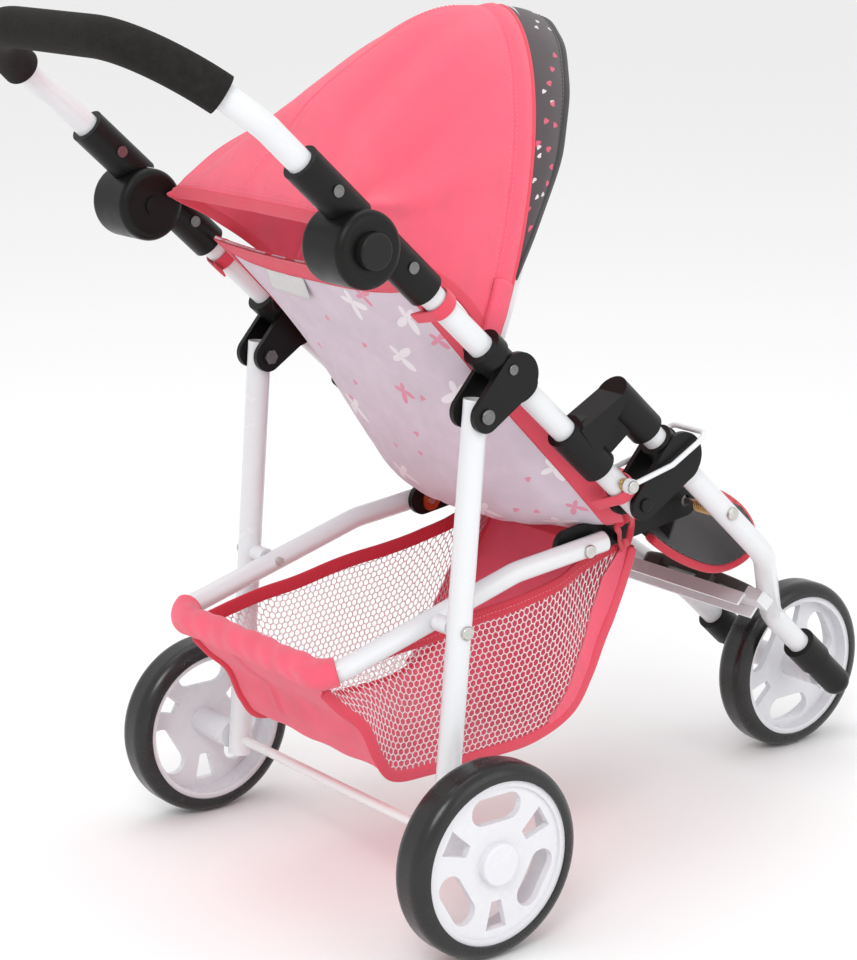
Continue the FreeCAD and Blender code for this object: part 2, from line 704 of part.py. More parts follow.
def basket_fabric():
    """An open-topped box with sloping ends, hung by a padded sleeve on the tube's rear bar."""
    outline = [(62, 170), (30, 136), (20, 98), (-108, 94), (-142, 112), (-166, 157), (-196, 208)]
    outer = plate(outline, -basket_half, basket_half)
    inside = [(50, 172), (27.5, 137), (17.8, 100.4), (-107, 96.4), (-140, 113.8), (-163.6, 158), (-192, 210)]
    lip = [(-192, 250), (60, 250)]
    room = plate(inside + lip, -basket_half + cloth, basket_half - cloth)
    sleeve = cross_rod(basket_rear, -basket_half + 8, basket_half - 8, 11.0)
    body = outer.cut(room).fuse(sleeve)
    return body.cut(cross_rod(basket_rear, -basket_x, basket_x, basket_tube_d / 2 + 0.3)).removeSplitter()


def save_basket():
    """The basket tube, its link plates and the cloth."""
    both = SIDES.values()
    holes = [cross_rod(basket_pivot, -basket_x - 20, basket_x + 20, pivot_d / 2 + FIT),
             cross_rod(basket_end_bolt, -basket_x - 20, basket_x + 20, 2.5)]
    tube = bent_tube(basket_frame_points(), [60.0, 18.0, 18.0, 60.0], basket_tube_d)
    save("basket_tube", tube.cut(Part.makeCompound(holes)))
    for name, side in SIDES.items():
        save("link_plate_" + name, link_plate(side))
    inner = basket_x - basket_tube_d / 2 - GAP / 2 - plate_thick
    save("link_plate_bolts", *[
        bolt(basket_end_bolt, k * (basket_x + basket_tube_d / 2), k * (inner - 3.0), 2.5, 4.6, 2.0) for k in both])
    save("copper_washers", *[
        cross_rod(basket_end_bolt, k * (inner - 1.4), k * inner, 7.5).cut(
            cross_rod(basket_end_bolt, k * (inner - 2), k * inner, 2.5)) for k in both])
    save("basket_fabric", basket_fabric())


# ---- seat, leg rest and hood ----------------------------------------------------------------------------
def tube_loop(side, s0, s1, way, far, x_strap):
    """A cloth loop round the main tube, with a strap at x_strap that runs to the far edge's two points."""
    x = side * frame_x
    low, high = sorted((way * 6.0, way * 8.4))
    body = rod(at(s0, 0, x), at(s1, 0, x), tube_d / 2 + 1.4)
    bridge = sn_box(s0, s1, low, high, side * x_strap, side * (frame_x - 4))
    strap = plate([yz(s0, way * 6.0), yz(s1, way * 6.0)] + far, side * x_strap, side * (x_strap + 1.5))
    body = body.fuse([bridge, strap])
    return body.cut(rod(at(s0 - 1, 0, x), at(s1 + 1, 0, x), tube_d / 2 + 0.02))


def seat_fabric():
    """The sling between the main tubes: back, bend and seat, hung on a loop at each corner."""
    half = frame_x - 13.5
    upper = [yz(224, -13), yz(150, -23), (-62, 268), (-100, 249), (-126, 243), (-208, 253)]
    lower = [(y + (1.8 if z > 300 else 0.0), z - 3.0) for y, z in reversed(upper)]
    body = plate(upper + lower, -half, half)
    for side in SIDES.values():
        body = body.fuse(tube_loop(side, 212.0, 222.0, -1, [yz(222, -15), yz(212, -16)], half - 1.5))
        body = body.fuse(tube_loop(side, 12.5, 19.0, -1, [(-116, 242), (-124, 241)], half - 1.5))
    return body.removeSplitter()


leg_rest_hinge = (-211.0, 228.0)
leg_rest_half = 79.0


def leg_rest():
    """The stiff padded flap in front of the seat, with its sides and front bent down."""
    half, thick = leg_rest_half, 4.0
    arch = [(-half, -20.0), (-half * 0.72, -5.0), (0, 0), (half * 0.72, -5.0), (half, -20.0)]
    outline = arch + [(x, z - thick) for x, z in reversed(arch)]
    points = [V(x, leg_rest_hinge[0], leg_rest_hinge[1] + z) for x, z in outline]
    face = Part.Face(Part.makePolygon(points + points[:1]))
    flap = face.extrude(V(0, -112.0, -14.0))
    return flap.fuse(cross_rod((leg_rest_hinge[0] + 0.5, leg_rest_hinge[1] - 2.5), -half + 22, half - 22, 2.4))


def arch_profile(half, height, power):
    """Points (x, h) of an arch that is rounder than an ellipse for a power over 2 and more pointed under it."""
    points = []
    for k in range(17):
        a = math.pi * k / 16
        x = math.copysign(abs(math.cos(a)) ** (2 / power), math.cos(a))
        points.append((half * x, height * abs(math.sin(a)) ** (2 / power)))
    return points


def hood_arch(base, lean, half, height, power, depth):
    """A closed arch: feet at the base's sides, crown height above, the whole leaning forward by lean degrees."""
    turn = math.radians(lean)
    up = V(0, -math.sin(turn), math.cos(turn))
    foot = V(0, *base)
    points = [foot + V(x, 0, 0) + up * h for x, h in arch_profile(half, height, power)]
    arch = Part.BSplineCurve()
    arch.interpolate(points)
    skirt = [points[-1], points[-1] - up * depth, points[0] - up * depth, points[0]]
    return Part.Wire([arch.toShape()] + [Part.makeLine(a, b) for a, b in zip(skirt, skirt[1:])])


def hood_shell(sections, thick):
    """A thin shell through the arches, open below and at both ends."""
    outer = Part.makeLoft([hood_arch(c, lean, w, h, p, 1.0) for c, lean, w, h, p in sections], True, False)
    slim = [(c, lean, w - thick, h - thick, p) for c, lean, w, h, p in sections]
    inner = Part.makeLoft([hood_arch(*arch, 9.0) for arch in slim], True, False)
    for arch, way in ((slim[0], 1), (slim[-1], -1)):
        back = V(0, math.cos(math.radians(arch[1])), math.sin(math.radians(arch[1]))) * (6.0 * way)
        inner = inner.fuse(Part.Face(hood_arch(*arch, 9.0)).extrude(back))
    return outer.cut(inner)


hood_sections = (
    # base y, z of the feet; lean; half width; height; power
    ((50.0, 450.0), -30.0, 94.0, 10.0, 3.0),
    ((41.0, 442.0), -4.0, 95.0, 40.0, 2.6),
    ((20.0, 427.0), 5.0, 98.0, 95.0, 2.1),
    ((-6.0, 406.0), 10.0, 101.0, 148.0, 1.8),
    ((-28.0, 390.0), 18.5, 102.0, 188.0, 1.7),
    ((-45.0, 380.0), 25.0, 102.5, 208.0, 1.68),
)
bow_back = 3.0                 # the bow's rear and front faces, ahead of the pivot's plane
bow_front = 8.0
bow_half = 103.0
bow_height = 216.0


def bow_section(ahead, half, height, lean=25.0):
    """An arch of the bow, its plane this far ahead of the pivot."""
    turn = math.radians(25.0)
    y, z = hood_pivot
    return (y - ahead * math.cos(turn), z - ahead * math.sin(turn)), lean, half, height, 1.68


def hood_fabric():
    """The hood's cloth, with a loop round each main tube."""
    body = hood_shell(hood_sections, hood_thick)
    for side in SIDES.values():
        body = body.fuse(tube_loop(side, 178.0, 190.0, 1, [yz(190, 36), yz(178, 34)], 100.0))
    return body.removeSplitter()


def hood_bow():
    """The flat springy strip that holds the hood's front edge up, with an eye at each foot."""
    body = hood_shell([bow_section(bow_back, bow_half, bow_height), bow_section(bow_front, bow_half, bow_height)], 2.0)
    y, z = hood_pivot
    for side in SIDES.values():
        foot = (y - 5.5 * math.cos(math.radians(25)), z - 5.5 * math.sin(math.radians(25)) + 9.0)
        body = body.fuse(link(hood_pivot, 4.6, foot, 2.4, side * 100.0, side * 102.8))
        body = body.cut(cross_rod(hood_pivot, side * 95, side * 110, 2.0 + FIT))
    return body.removeSplitter()


def hood_clip(side):
    """A plastic clip on the main tube with the pin that the bow turns on."""
    x = side * frame_x
    body = rod(at(163.0, 0, x), at(173.0, 0, x), tube_d / 2 + 5.0)
    body = body.fuse(link(yz(168.0, 0.0), 6.0, hood_pivot, 4.8, side * 103.2, side * 105.4))
    body = body.fuse(cross_rod(hood_pivot, side * 98.6, side * 104.0, 2.0))
    return body.cut(rod(at(160, 0, x), at(176, 0, x), tube_d / 2 + 0.02)).removeSplitter()


def hood_visor():
    """The crescent peak ahead of the bow."""
    base, lean, half, height, power = bow_section(bow_front, bow_half, bow_height)
    up = V(0, -math.sin(math.radians(lean)), math.cos(math.radians(lean)))
    rear = (base[0] + up.y * 22, base[1] + up.z * 22), lean, 102.5, height - 22, power
    front = (rear[0][0] - 5.0, rear[0][1] - 1.0), 33.0, 101.0, 193.0, power
    return hood_shell([rear, front], hood_thick)


def save_soft_parts():
    """Seat, leg rest and hood."""
    save("seat_fabric", seat_fabric())
    save("leg_rest", leg_rest())
    save("hood_fabric", hood_fabric())
    save("hood_bow", hood_bow())
    save("hood_visor", hood_visor())
    for name, side in SIDES.items():
        save("hood_clip_" + name, hood_clip(side))


def main():
    """Write every sub-part."""
    os.makedirs("parts", exist_ok=True)
    save_main_frame()
    save_handle()
    save_rear_legs()
    save_wheels()
    save_front_frame()
    for name, side in SIDES.items():
        save("lock_slider_" + name, lock_slider(side))
    save("safety_catch", safety_catch())
    save("catch_spring", catch_spring())
    save_basket()
    save_soft_parts()


main()
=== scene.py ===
"""Doll stroller: the visual model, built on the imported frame.

Lengths in this file are millimetres with y = 0 at the rear axle, and are turned into the frame's
metres when a mesh is made.
"""

from __future__ import annotations

import json
import logging
import math
import sys
from dataclasses import dataclass, field
from enum import Enum
from typing import Any, Callable, ClassVar, Sequence

import bmesh
import bpy
import numpy as np
from mathutils import Matrix, Vector

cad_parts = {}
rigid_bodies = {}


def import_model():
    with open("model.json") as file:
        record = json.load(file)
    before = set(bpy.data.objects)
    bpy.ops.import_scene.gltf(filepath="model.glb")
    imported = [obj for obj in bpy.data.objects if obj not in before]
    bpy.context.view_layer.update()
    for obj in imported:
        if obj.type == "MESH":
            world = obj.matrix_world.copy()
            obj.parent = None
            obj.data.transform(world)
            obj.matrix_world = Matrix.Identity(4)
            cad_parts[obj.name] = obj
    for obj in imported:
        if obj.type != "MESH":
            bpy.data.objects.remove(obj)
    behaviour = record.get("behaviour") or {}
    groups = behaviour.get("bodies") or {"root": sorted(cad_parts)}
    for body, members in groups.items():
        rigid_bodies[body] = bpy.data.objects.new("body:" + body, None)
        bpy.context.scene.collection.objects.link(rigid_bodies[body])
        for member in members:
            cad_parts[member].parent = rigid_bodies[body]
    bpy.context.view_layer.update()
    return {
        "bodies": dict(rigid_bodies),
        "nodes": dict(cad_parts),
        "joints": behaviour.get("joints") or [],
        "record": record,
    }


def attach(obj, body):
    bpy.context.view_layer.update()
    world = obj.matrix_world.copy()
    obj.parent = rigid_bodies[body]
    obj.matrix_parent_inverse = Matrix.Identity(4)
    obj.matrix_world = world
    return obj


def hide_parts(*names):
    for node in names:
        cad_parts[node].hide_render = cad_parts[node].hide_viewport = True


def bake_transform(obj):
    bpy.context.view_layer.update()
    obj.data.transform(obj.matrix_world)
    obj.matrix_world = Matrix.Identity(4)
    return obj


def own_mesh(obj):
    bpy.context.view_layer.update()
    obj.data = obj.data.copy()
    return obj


LOG = logging.getLogger("stroller")

AXLE_Y = 147.34  # the rear axle's y in the frame, in millimetres
TILT = math.radians(42.8)  # slope of the side tubes
FOLD = np.array([-156.5, 261.0])  # y, z of the fold pivot
TUBE_X = 118.0


class Side(Enum):
    """The stroller's sides, with the sign of x."""

    RIGHT = -1
    LEFT = 1


def metres(points: np.ndarray) -> np.ndarray:
    """Millimetres from the rear axle to the frame's metres."""
    return (np.asarray(points, float) + np.array([0.0, AXLE_Y, 0.0])) * 0.001


def tube_point(s: float, n: float, x: float) -> np.ndarray:
    """The point s up the side tube from the fold pivot, n above its axis, at x.

    Returns:
        The point in millimetres.
    """
    y = FOLD[0] + s * math.cos(TILT) - n * math.sin(TILT)
    z = FOLD[1] + s * math.sin(TILT) + n * math.cos(TILT)
    return np.array([x, y, z])


# ---- curves and surfaces --------------------------------------------------------------------------


def smooth_rows(knots: np.ndarray, values: np.ndarray, t: np.ndarray) -> np.ndarray:
    """Cubic Hermite interpolation of rows, with slopes from the neighbouring rows.

    Args:
        knots: (k,) increasing parameters.
        values: (k, ...) value at each knot.
        t: (n,) parameters to read.

    Returns:
        (n, ...) smooth values.
    """
    slope = np.gradient(values, knots, axis=0, edge_order=1)
    i = np.clip(np.searchsorted(knots, t, side="right") - 1, 0, len(knots) - 2)
    h = knots[i + 1] - knots[i]
    w = (t - knots[i]) / h
    shape = (len(t),) + (1,) * (values.ndim - 1)
    w, h = w.reshape(shape), h.reshape(shape)
    h00, h10 = 2 * w**3 - 3 * w**2 + 1, w**3 - 2 * w**2 + w
    h01, h11 = -2 * w**3 + 3 * w**2, w**3 - w**2
    return h00 * values[i] + h10 * h * slope[i] + h01 * values[i + 1] + h11 * h * slope[i + 1]


def spline(points: Sequence[Sequence[float]], count: int) -> np.ndarray:
    """A smooth curve through points, spaced evenly along its length.

    Args:
        points: the points that it passes through.
        count: how many points to return.

    Returns:
        (count, d) points.
    """
    p = np.asarray(points, float)
    gap = np.linalg.norm(np.diff(p, axis=0), axis=1) ** 0.5
    knots = np.concatenate([[0.0], np.cumsum(gap)])
    fine = smooth_rows(knots, p, np.linspace(0, knots[-1], count * 8))
    run = np.concatenate([[0.0], np.cumsum(np.linalg.norm(np.diff(fine, axis=0), axis=1))])
    even = np.linspace(0, run[-1], count)
    return np.stack([np.interp(even, run, fine[:, k]) for k in range(p.shape[1])], axis=1)


def surface_normals(grid: np.ndarray) -> np.ndarray:
    """Unit normals of a grid of points: the cross product of its two tangents."""
    du = np.gradient(grid, axis=0)
    dv = np.gradient(grid, axis=1)
    n = np.cross(du, dv)
    return n / np.maximum(np.linalg.norm(n, axis=2, keepdims=True), 1e-9)


def run_lengths(grid: np.ndarray) -> tuple[np.ndarray, np.ndarray]:
    """How far each point lies along its row and its column, each counted from the middle.

    Returns:
        Two (nu, nv) arrays.
    """
    step_u = np.linalg.norm(np.diff(grid, axis=0), axis=2)
    step_v = np.linalg.norm(np.diff(grid, axis=1), axis=2)
    u = np.concatenate([np.zeros((1, grid.shape[1])), np.cumsum(step_u, axis=0)], axis=0)
    v = np.concatenate([np.zeros((grid.shape[0], 1)), np.cumsum(step_v, axis=1)], axis=1)
    return u - u[-1:, :] / 2, v - v[:, -1:] / 2


def make_object(name: str, points: np.ndarray, faces: np.ndarray, uv: np.ndarray | None = None,
                smooth: bool = True) -> bpy.types.Object:
    """A mesh object from arrays.

    Args:
        name: the piece's name.
        points: (n, 3) millimetres.
        faces: (m, 4) corner numbers.
        uv: (n, 2) metres for each point, or None.
        smooth: shade smoothly.

    Returns:
        The new object, linked to the scene.
    """
    mesh = bpy.data.meshes.new(name)
    count = len(faces)
    mesh.vertices.add(len(points))
    mesh.vertices.foreach_set("co", metres(points).astype(np.float32).ravel())
    mesh.loops.add(count * 4)
    mesh.loops.foreach_set("vertex_index", faces.astype(np.int32).ravel())
    mesh.polygons.add(count)
    mesh.polygons.foreach_set("loop_start", np.arange(0, count * 4, 4, dtype=np.int32))
    mesh.polygons.foreach_set("use_smooth", np.full(count, smooth))
    if uv is not None:
        layer = mesh.uv_layers.new(name="cloth")
        layer.data.foreach_set("uv", uv[faces.ravel()].astype(np.float32).ravel())
    mesh.update(calc_edges=True)
    mesh.validate()
    obj = bpy.data.objects.new(name, mesh)
    bpy.context.scene.collection.objects.link(obj)
    return obj


def grid_faces(nu: int, nv: int, start: int = 0, wrap_u: bool = False) -> np.ndarray:
    """Quads of a grid of nu by nv points numbered row by row, closing the first direction when asked."""
    i = np.arange(nu if wrap_u else nu - 1)
    j = np.arange(nv - 1)
    a, b = np.meshgrid(i, j, indexing="ij")
    c = (a + 1) % nu
    quads = np.stack([a * nv + b, c * nv + b, c * nv + b + 1, a * nv + b + 1], axis=2)
    return (quads + start).reshape(-1, 4)


def cloth(name: str, grid: np.ndarray, thick: float) -> bpy.types.Object:
    """A closed sheet: the grid pushed out and in by half its thickness, joined round its four edges.

    Args:
        name: the piece's name.
        grid: (nu, nv, 3) millimetres; du x dv points to the right side of the cloth.
        thick: thickness in millimetres.

    Returns:
        The object, with its UV in metres along the cloth.
    """
    nu, nv = grid.shape[:2]
    n = surface_normals(grid)
    outer, inner = grid + n * thick / 2, grid - n * thick / 2
    points = np.concatenate([outer.reshape(-1, 3), inner.reshape(-1, 3)])
    u, v = run_lengths(grid)
    uv = np.tile(np.stack([u, v], axis=2).reshape(-1, 2) * 0.001, (2, 1))
    top = grid_faces(nu, nv)
    bottom = grid_faces(nu, nv, nu * nv)[:, ::-1]
    ids = np.arange(nu * nv).reshape(nu, nv)
    rim = np.concatenate([ids[:, 0], ids[-1, 1:], ids[-2::-1, -1], ids[0, -2:0:-1]])
    after = np.roll(rim, -1)
    lower = rim + nu * nv
    wall = np.stack([rim, lower, np.roll(lower, -1), after], axis=1)
    return make_object(name, points, np.concatenate([top, bottom, wall[:, ::-1]]), uv)


def frames_along(path: np.ndarray, hint: np.ndarray) -> tuple[np.ndarray, np.ndarray]:
    """Two directions square to a path: one near the hint, and the one across it.

    Returns:
        (n, 3) normals and (n, 3) across directions.
    """
    tangent = np.gradient(path, axis=0)
    tangent /= np.maximum(np.linalg.norm(tangent, axis=1, keepdims=True), 1e-9)
    hint = np.broadcast_to(hint, path.shape)
    across = np.cross(tangent, hint)
    across /= np.maximum(np.linalg.norm(across, axis=1, keepdims=True), 1e-9)
    return np.cross(across, tangent), across


def sweep(name: str, path: np.ndarray, hint: np.ndarray, half_w: float | np.ndarray,
          half_t: float | np.ndarray, power: float = 2.0, sides: int = 16) -> bpy.types.Object:
    """A bar along a path whose section is |a/w|^p + |b/t|^p = 1, closed and rounded at both ends.

    Args:
        name: the piece's name.
        path: (n, 3) millimetres.
        hint: the direction, or one for each point, that the thin way of the section faces.
        half_w: half the section's width, across the hint.
        half_t: half its thickness, along the hint.
        power: 2 for an ellipse, more for a flatter strap.
        sides: points round the section.

    Returns:
        The object.
    """
    normal, across = frames_along(path, hint)
    turn = np.linspace(0, 2 * np.pi, sides, endpoint=False)
    a = np.sign(np.cos(turn)) * np.abs(np.cos(turn)) ** (2 / power)
    b = np.sign(np.sin(turn)) * np.abs(np.sin(turn)) ** (2 / power)
    count = len(path)
    half_w = np.broadcast_to(half_w, (count,)).astype(float)
    half_t = np.broadcast_to(half_t, (count,)).astype(float)
    # three short rings at each end close the bar to a soft tip
    tip = np.array([0.02, 0.6, 0.9])
    rows = np.concatenate([np.zeros(3, int), np.arange(count), np.full(3, count - 1)])
    scale = np.concatenate([tip, np.ones(count), tip[::-1]])
    step = path[1] - path[0], path[-1] - path[-2]
    step = [s / max(np.linalg.norm(s), 1e-9) for s in step]
    reach = min(half_w[0], half_t[0])
    shift = np.zeros((count + 6, 3))
    shift[:3] = -np.outer([1.0, 0.8, 0.45], step[0]) * reach
    shift[-3:] = np.outer([0.45, 0.8, 1.0], step[1]) * reach
    centre = path[rows] + shift
    ring = (centre[None] + a[:, None, None] * (across[rows] * (half_w[rows] * scale)[:, None])[None]
            + b[:, None, None] * (normal[rows] * (half_t[rows] * scale)[:, None])[None])
    run = np.concatenate([[0.0], np.cumsum(np.linalg.norm(np.diff(centre, axis=0), axis=1))])
    uv = np.stack(np.meshgrid(turn * half_w.mean(), run, indexing="ij"), axis=2)
    faces = grid_faces(sides, len(rows), 0, wrap_u=True)
    obj = make_object(name, ring.reshape(-1, 3), faces, uv.reshape(-1, 2) * 0.001)
    close_ends(obj, sides, len(rows))
    return obj


def close_ends(obj: bpy.types.Object, sides: int, rows: int) -> None:
    """Fills the small first and last rings of a swept bar with one face each."""
    bm = bmesh.new()
    bm.from_mesh(obj.data)
    bm.verts.ensure_lookup_table()
    first = [bm.verts[k * rows] for k in range(sides)]
    last = [bm.verts[k * rows + rows - 1] for k in range(sides)]
    bm.faces.new(first).smooth = True
    bm.faces.new(last[::-1]).smooth = True
    bmesh.ops.recalc_face_normals(bm, faces=bm.faces)
    bm.to_mesh(obj.data)
    bm.free()


def stitches(name: str, path: np.ndarray, hint: np.ndarray, pitch: float = 3.2, length: float = 2.3,
             radius: float = 0.32) -> bpy.types.Object:
    """A row of thread stitches: short six-sided spindles laid along a path.

    Args:
        name: the piece's name.
        path: (n, 3) millimetres, on the cloth's face.
        hint: the direction out of the cloth.
        pitch: from one stitch to the next.
        length: length of a stitch.
        radius: half its thickness.

    Returns:
        The object.
    """
    run = np.concatenate([[0.0], np.cumsum(np.linalg.norm(np.diff(path, axis=0), axis=1))])
    count = max(int(run[-1] / pitch), 2)
    starts = (np.arange(count) + 0.5) * run[-1] / count
    along = starts[:, None] + np.linspace(-0.5, 0.5, 5)[None] * length
    centre = np.stack([np.interp(along, run, path[:, k]) for k in range(3)], axis=2)
    hint = np.broadcast_to(hint, path.shape)
    out = np.stack([np.interp(along, run, hint[:, k]) for k in range(3)], axis=2)
    tangent = np.gradient(centre, axis=1)
    tangent /= np.linalg.norm(tangent, axis=2, keepdims=True)
    across = np.cross(tangent, out)
    across /= np.maximum(np.linalg.norm(across, axis=2, keepdims=True), 1e-9)
    out = np.cross(across, tangent)
    swell = np.array([0.15, 0.85, 1.0, 0.85, 0.15])[None, :, None]
    centre = centre + out * (np.array([-0.6, 0.1, 0.35, 0.1, -0.6])[None, :, None] * radius)
    turn = np.linspace(0, 2 * np.pi, 6, endpoint=False)
    ring = (centre[:, :, None] + np.cos(turn)[None, None, :, None] * (across * swell * radius)[:, :, None]
            + np.sin(turn)[None, None, :, None] * (out * swell * radius)[:, :, None])
    points = ring.reshape(-1, 3)
    i, j = np.meshgrid(np.arange(4), np.arange(6), indexing="ij")
    k = (j + 1) % 6
    quad = np.stack([i * 6 + j, i * 6 + k, (i + 1) * 6 + k, (i + 1) * 6 + j], axis=2).reshape(-1, 4)
    caps = np.array([[0, 5, 4, 3], [0, 3, 2, 1], [24, 25, 26, 27], [24, 27, 28, 29]])
    quad = np.concatenate([quad[:, ::-1], caps[:, ::-1]])
    faces = (quad[None] + (np.arange(count) * 30)[:, None, None]).reshape(-1, 4)
    return make_object(name, points, faces, None)


# ---- finishes -------------------------------------------------------------------------------------


class Sock:
    """A shader socket that takes part in Python arithmetic; each operation adds a Math node."""

    def __init__(self, shader: "Shader", socket: bpy.types.NodeSocket) -> None:
        """Holds the socket and the shader it belongs to."""
        self.shader = shader
        self.socket = socket

    def op(self, kind: str, *others: Any) -> "Sock":
        """A Math node of this kind on this socket and the others."""
        values = {0: self, **dict(enumerate(others, 1))}
        node = self.shader.node("ShaderNodeMath", {"operation": kind}, values)
        return Sock(self.shader, node.outputs[0])

    def __add__(self, other: Any) -> "Sock":
        """Sum."""
        return self.op("ADD", other)

    __radd__ = __add__

    def __mul__(self, other: Any) -> "Sock":
        """Product."""
        return self.op("MULTIPLY", other)

    __rmul__ = __mul__

    def __sub__(self, other: Any) -> "Sock":
        """Difference."""
        return self.op("SUBTRACT", other)

    def __rsub__(self, other: Any) -> "Sock":
        """Difference from a number."""
        return (self * -1.0) + other

    def __truediv__(self, other: Any) -> "Sock":
        """Quotient."""
        return self.op("DIVIDE", other)

    def __pow__(self, other: Any) -> "Sock":
        """Power."""
        return self.op("POWER", other)

    def sin(self) -> "Sock":
        """Sine."""
        return self.op("SINE")

    def absolute(self) -> "Sock":
        """Absolute value."""
        return self.op("ABSOLUTE")

    def fract(self) -> "Sock":
        """Fractional part."""
        return self.op("FRACT")

    def floor(self) -> "Sock":
        """Whole part."""
        return self.op("FLOOR")

    def low(self, other: Any) -> "Sock":
        """The lower of the two."""
        return self.op("MINIMUM", other)

    def high(self, other: Any) -> "Sock":
        """The higher of the two."""
        return self.op("MAXIMUM", other)

    def below(self, edge: float, soft: float) -> "Sock":
        """1 where the value is under edge, 0 over it, with a ramp soft wide."""
        return self.shader.remap(self, edge - soft, edge + soft, 1.0, 0.0)


class Shader:
    """A material under construction, with one method that makes any node."""

    def __init__(self, name: str) -> None:
        """An empty material of that name."""
        self.material = bpy.data.materials.new(name)
        self.material.use_nodes = True
        self.tree = self.material.node_tree
        self.tree.nodes.clear()
        self.coords = self.node("ShaderNodeTexCoord", {}, {})

    def node(self, kind: str, settings: dict[str, Any], values: dict[Any, Any]) -> bpy.types.Node:
        """A node of that kind.

        Args:
            kind: the node's type.
            settings: attributes to set first.
            values: for each socket, by name or number, a value or a Sock to link.

        Returns:
            The node.
        """
        made = self.tree.nodes.new(kind)
        for key, value in settings.items():
            setattr(made, key, value)
        for key, value in values.items():
            if isinstance(value, Sock):
                self.tree.links.new(value.socket, made.inputs[key])
            else:
                made.inputs[key].default_value = value
        return made

    def out(self, node: bpy.types.Node, key: Any = 0) -> Sock:
        """One of a node's outputs."""
        return Sock(self, node.outputs[key])

    def place(self) -> Sock:
        """Object coordinates, in metres."""
        return self.out(self.coords, "Object")

    def uv(self) -> tuple[Sock, Sock]:
        """The cloth's own coordinates, in metres along and across it."""
        split = self.node("ShaderNodeSeparateXYZ", {}, {0: self.out(self.coords, "UV")})
        return self.out(split, 0), self.out(split, 1)

    def noise(self, scale: float, detail: float = 3.0, rough: float = 0.55) -> Sock:
        """Smooth noise from 0 to 1."""
        node = self.node("ShaderNodeTexNoise", {}, {"Vector": self.place(), "Scale": scale,
                                                    "Detail": detail, "Roughness": rough})
        return self.out(node, 0)

    def cells(self, scale: float) -> Sock:
        """Distance to the nearest of scattered points."""
        node = self.node("ShaderNodeTexVoronoi", {}, {"Vector": self.place(), "Scale": scale})
        return self.out(node, "Distance")

    def chance(self, a: Sock, b: Sock, seed: float) -> Sock:
        """A random number for each pair of whole numbers."""
        vector = self.node("ShaderNodeCombineXYZ", {}, {0: a, 1: b, 2: seed})
        return self.out(self.node("ShaderNodeTexWhiteNoise", {}, {"Vector": self.out(vector)}), 0)

    def remap(self, value: Sock, a: float, b: float, low: float, high: float) -> Sock:
        """value from a..b to low..high, held at the ends."""
        node = self.node("ShaderNodeMapRange", {}, {0: value, 1: min(a, b), 2: max(a, b),
                                                    3: low if a < b else high, 4: high if a < b else low})
        return self.out(node, 0)

    def mix(self, share: Any, a: Any, b: Any) -> Sock:
        """Colour a where share is 0 and b where it is 1."""
        node = self.node("ShaderNodeMix", {"data_type": "RGBA"}, {0: share, 6: a, 7: b})
        return self.out(node, 2)

    def bump(self, height: Sock, strength: float, distance: float, after: Sock | None = None) -> Sock:
        """A normal from a height."""
        values: dict[str, Any] = {"Strength": strength, "Distance": distance, "Height": height}
        if after is not None:
            values["Normal"] = after
        return self.out(self.node("ShaderNodeBump", {}, values))

    def finish(self, values: dict[str, Any]) -> bpy.types.Material:
        """Closes the tree with a Principled shader."""
        surface = self.node("ShaderNodeBsdfPrincipled", {}, values)
        self.node("ShaderNodeOutputMaterial", {}, {0: self.out(surface)})
        return self.material


RGBA = tuple[float, float, float, float]


def rgba(colour: Sequence[float]) -> RGBA:
    """A colour with full alpha."""
    return (colour[0], colour[1], colour[2], 1.0)


@dataclass(frozen=True)
class PowderCoat:
    """Glossy white powder coat on the tubes."""

    colour: tuple[float, float, float] = (0.74, 0.75, 0.77)

    def build(self) -> bpy.types.Material:
        """The material: a clear gloss over a white ground with a faint ripple."""
        s = Shader("powder coat")
        dull = s.noise(9.0, 2.0)
        ground = s.mix(dull * 0.35, rgba(self.colour), rgba([c * 0.94 for c in self.colour]))
        rough = s.remap(s.noise(40.0), 0.3, 0.7, 0.2, 0.28)
        ripple = s.bump(s.noise(900.0, 2.0), 0.12, 0.0002)
        return s.finish({"Base Color": ground, "Roughness": rough, "Normal": ripple, "Coat Weight": 0.35,
                         "Coat Roughness": 0.08})


@dataclass(frozen=True)
class Moulding:
    """Moulded plastic with a fine sparked texture."""

    name: str
    colour: tuple[float, float, float]
    rough: float = 0.42
    grain: float = 0.25
    wear: float = 0.15

    def build(self) -> bpy.types.Material:
        """The material: grain in the bump, light scuffs in the colour and the roughness."""
        s = Shader(self.name)
        scuff = s.remap(s.noise(120.0, 6.0, 0.7), 0.55, 0.75, 0.0, self.wear)
        pale = [min(c * 1.5 + 0.03, 1.0) for c in self.colour]
        ground = s.mix(scuff, rgba(self.colour), rgba(pale))
        rough = s.remap(s.noise(60.0, 4.0), 0.3, 0.7, self.rough - 0.07, self.rough + 0.09)
        grain = s.bump(s.noise(2600.0, 2.0), self.grain, 0.0002)
        return s.finish({"Base Color": ground, "Roughness": rough, "Normal": grain,
                         "Specular IOR Level": 0.22})


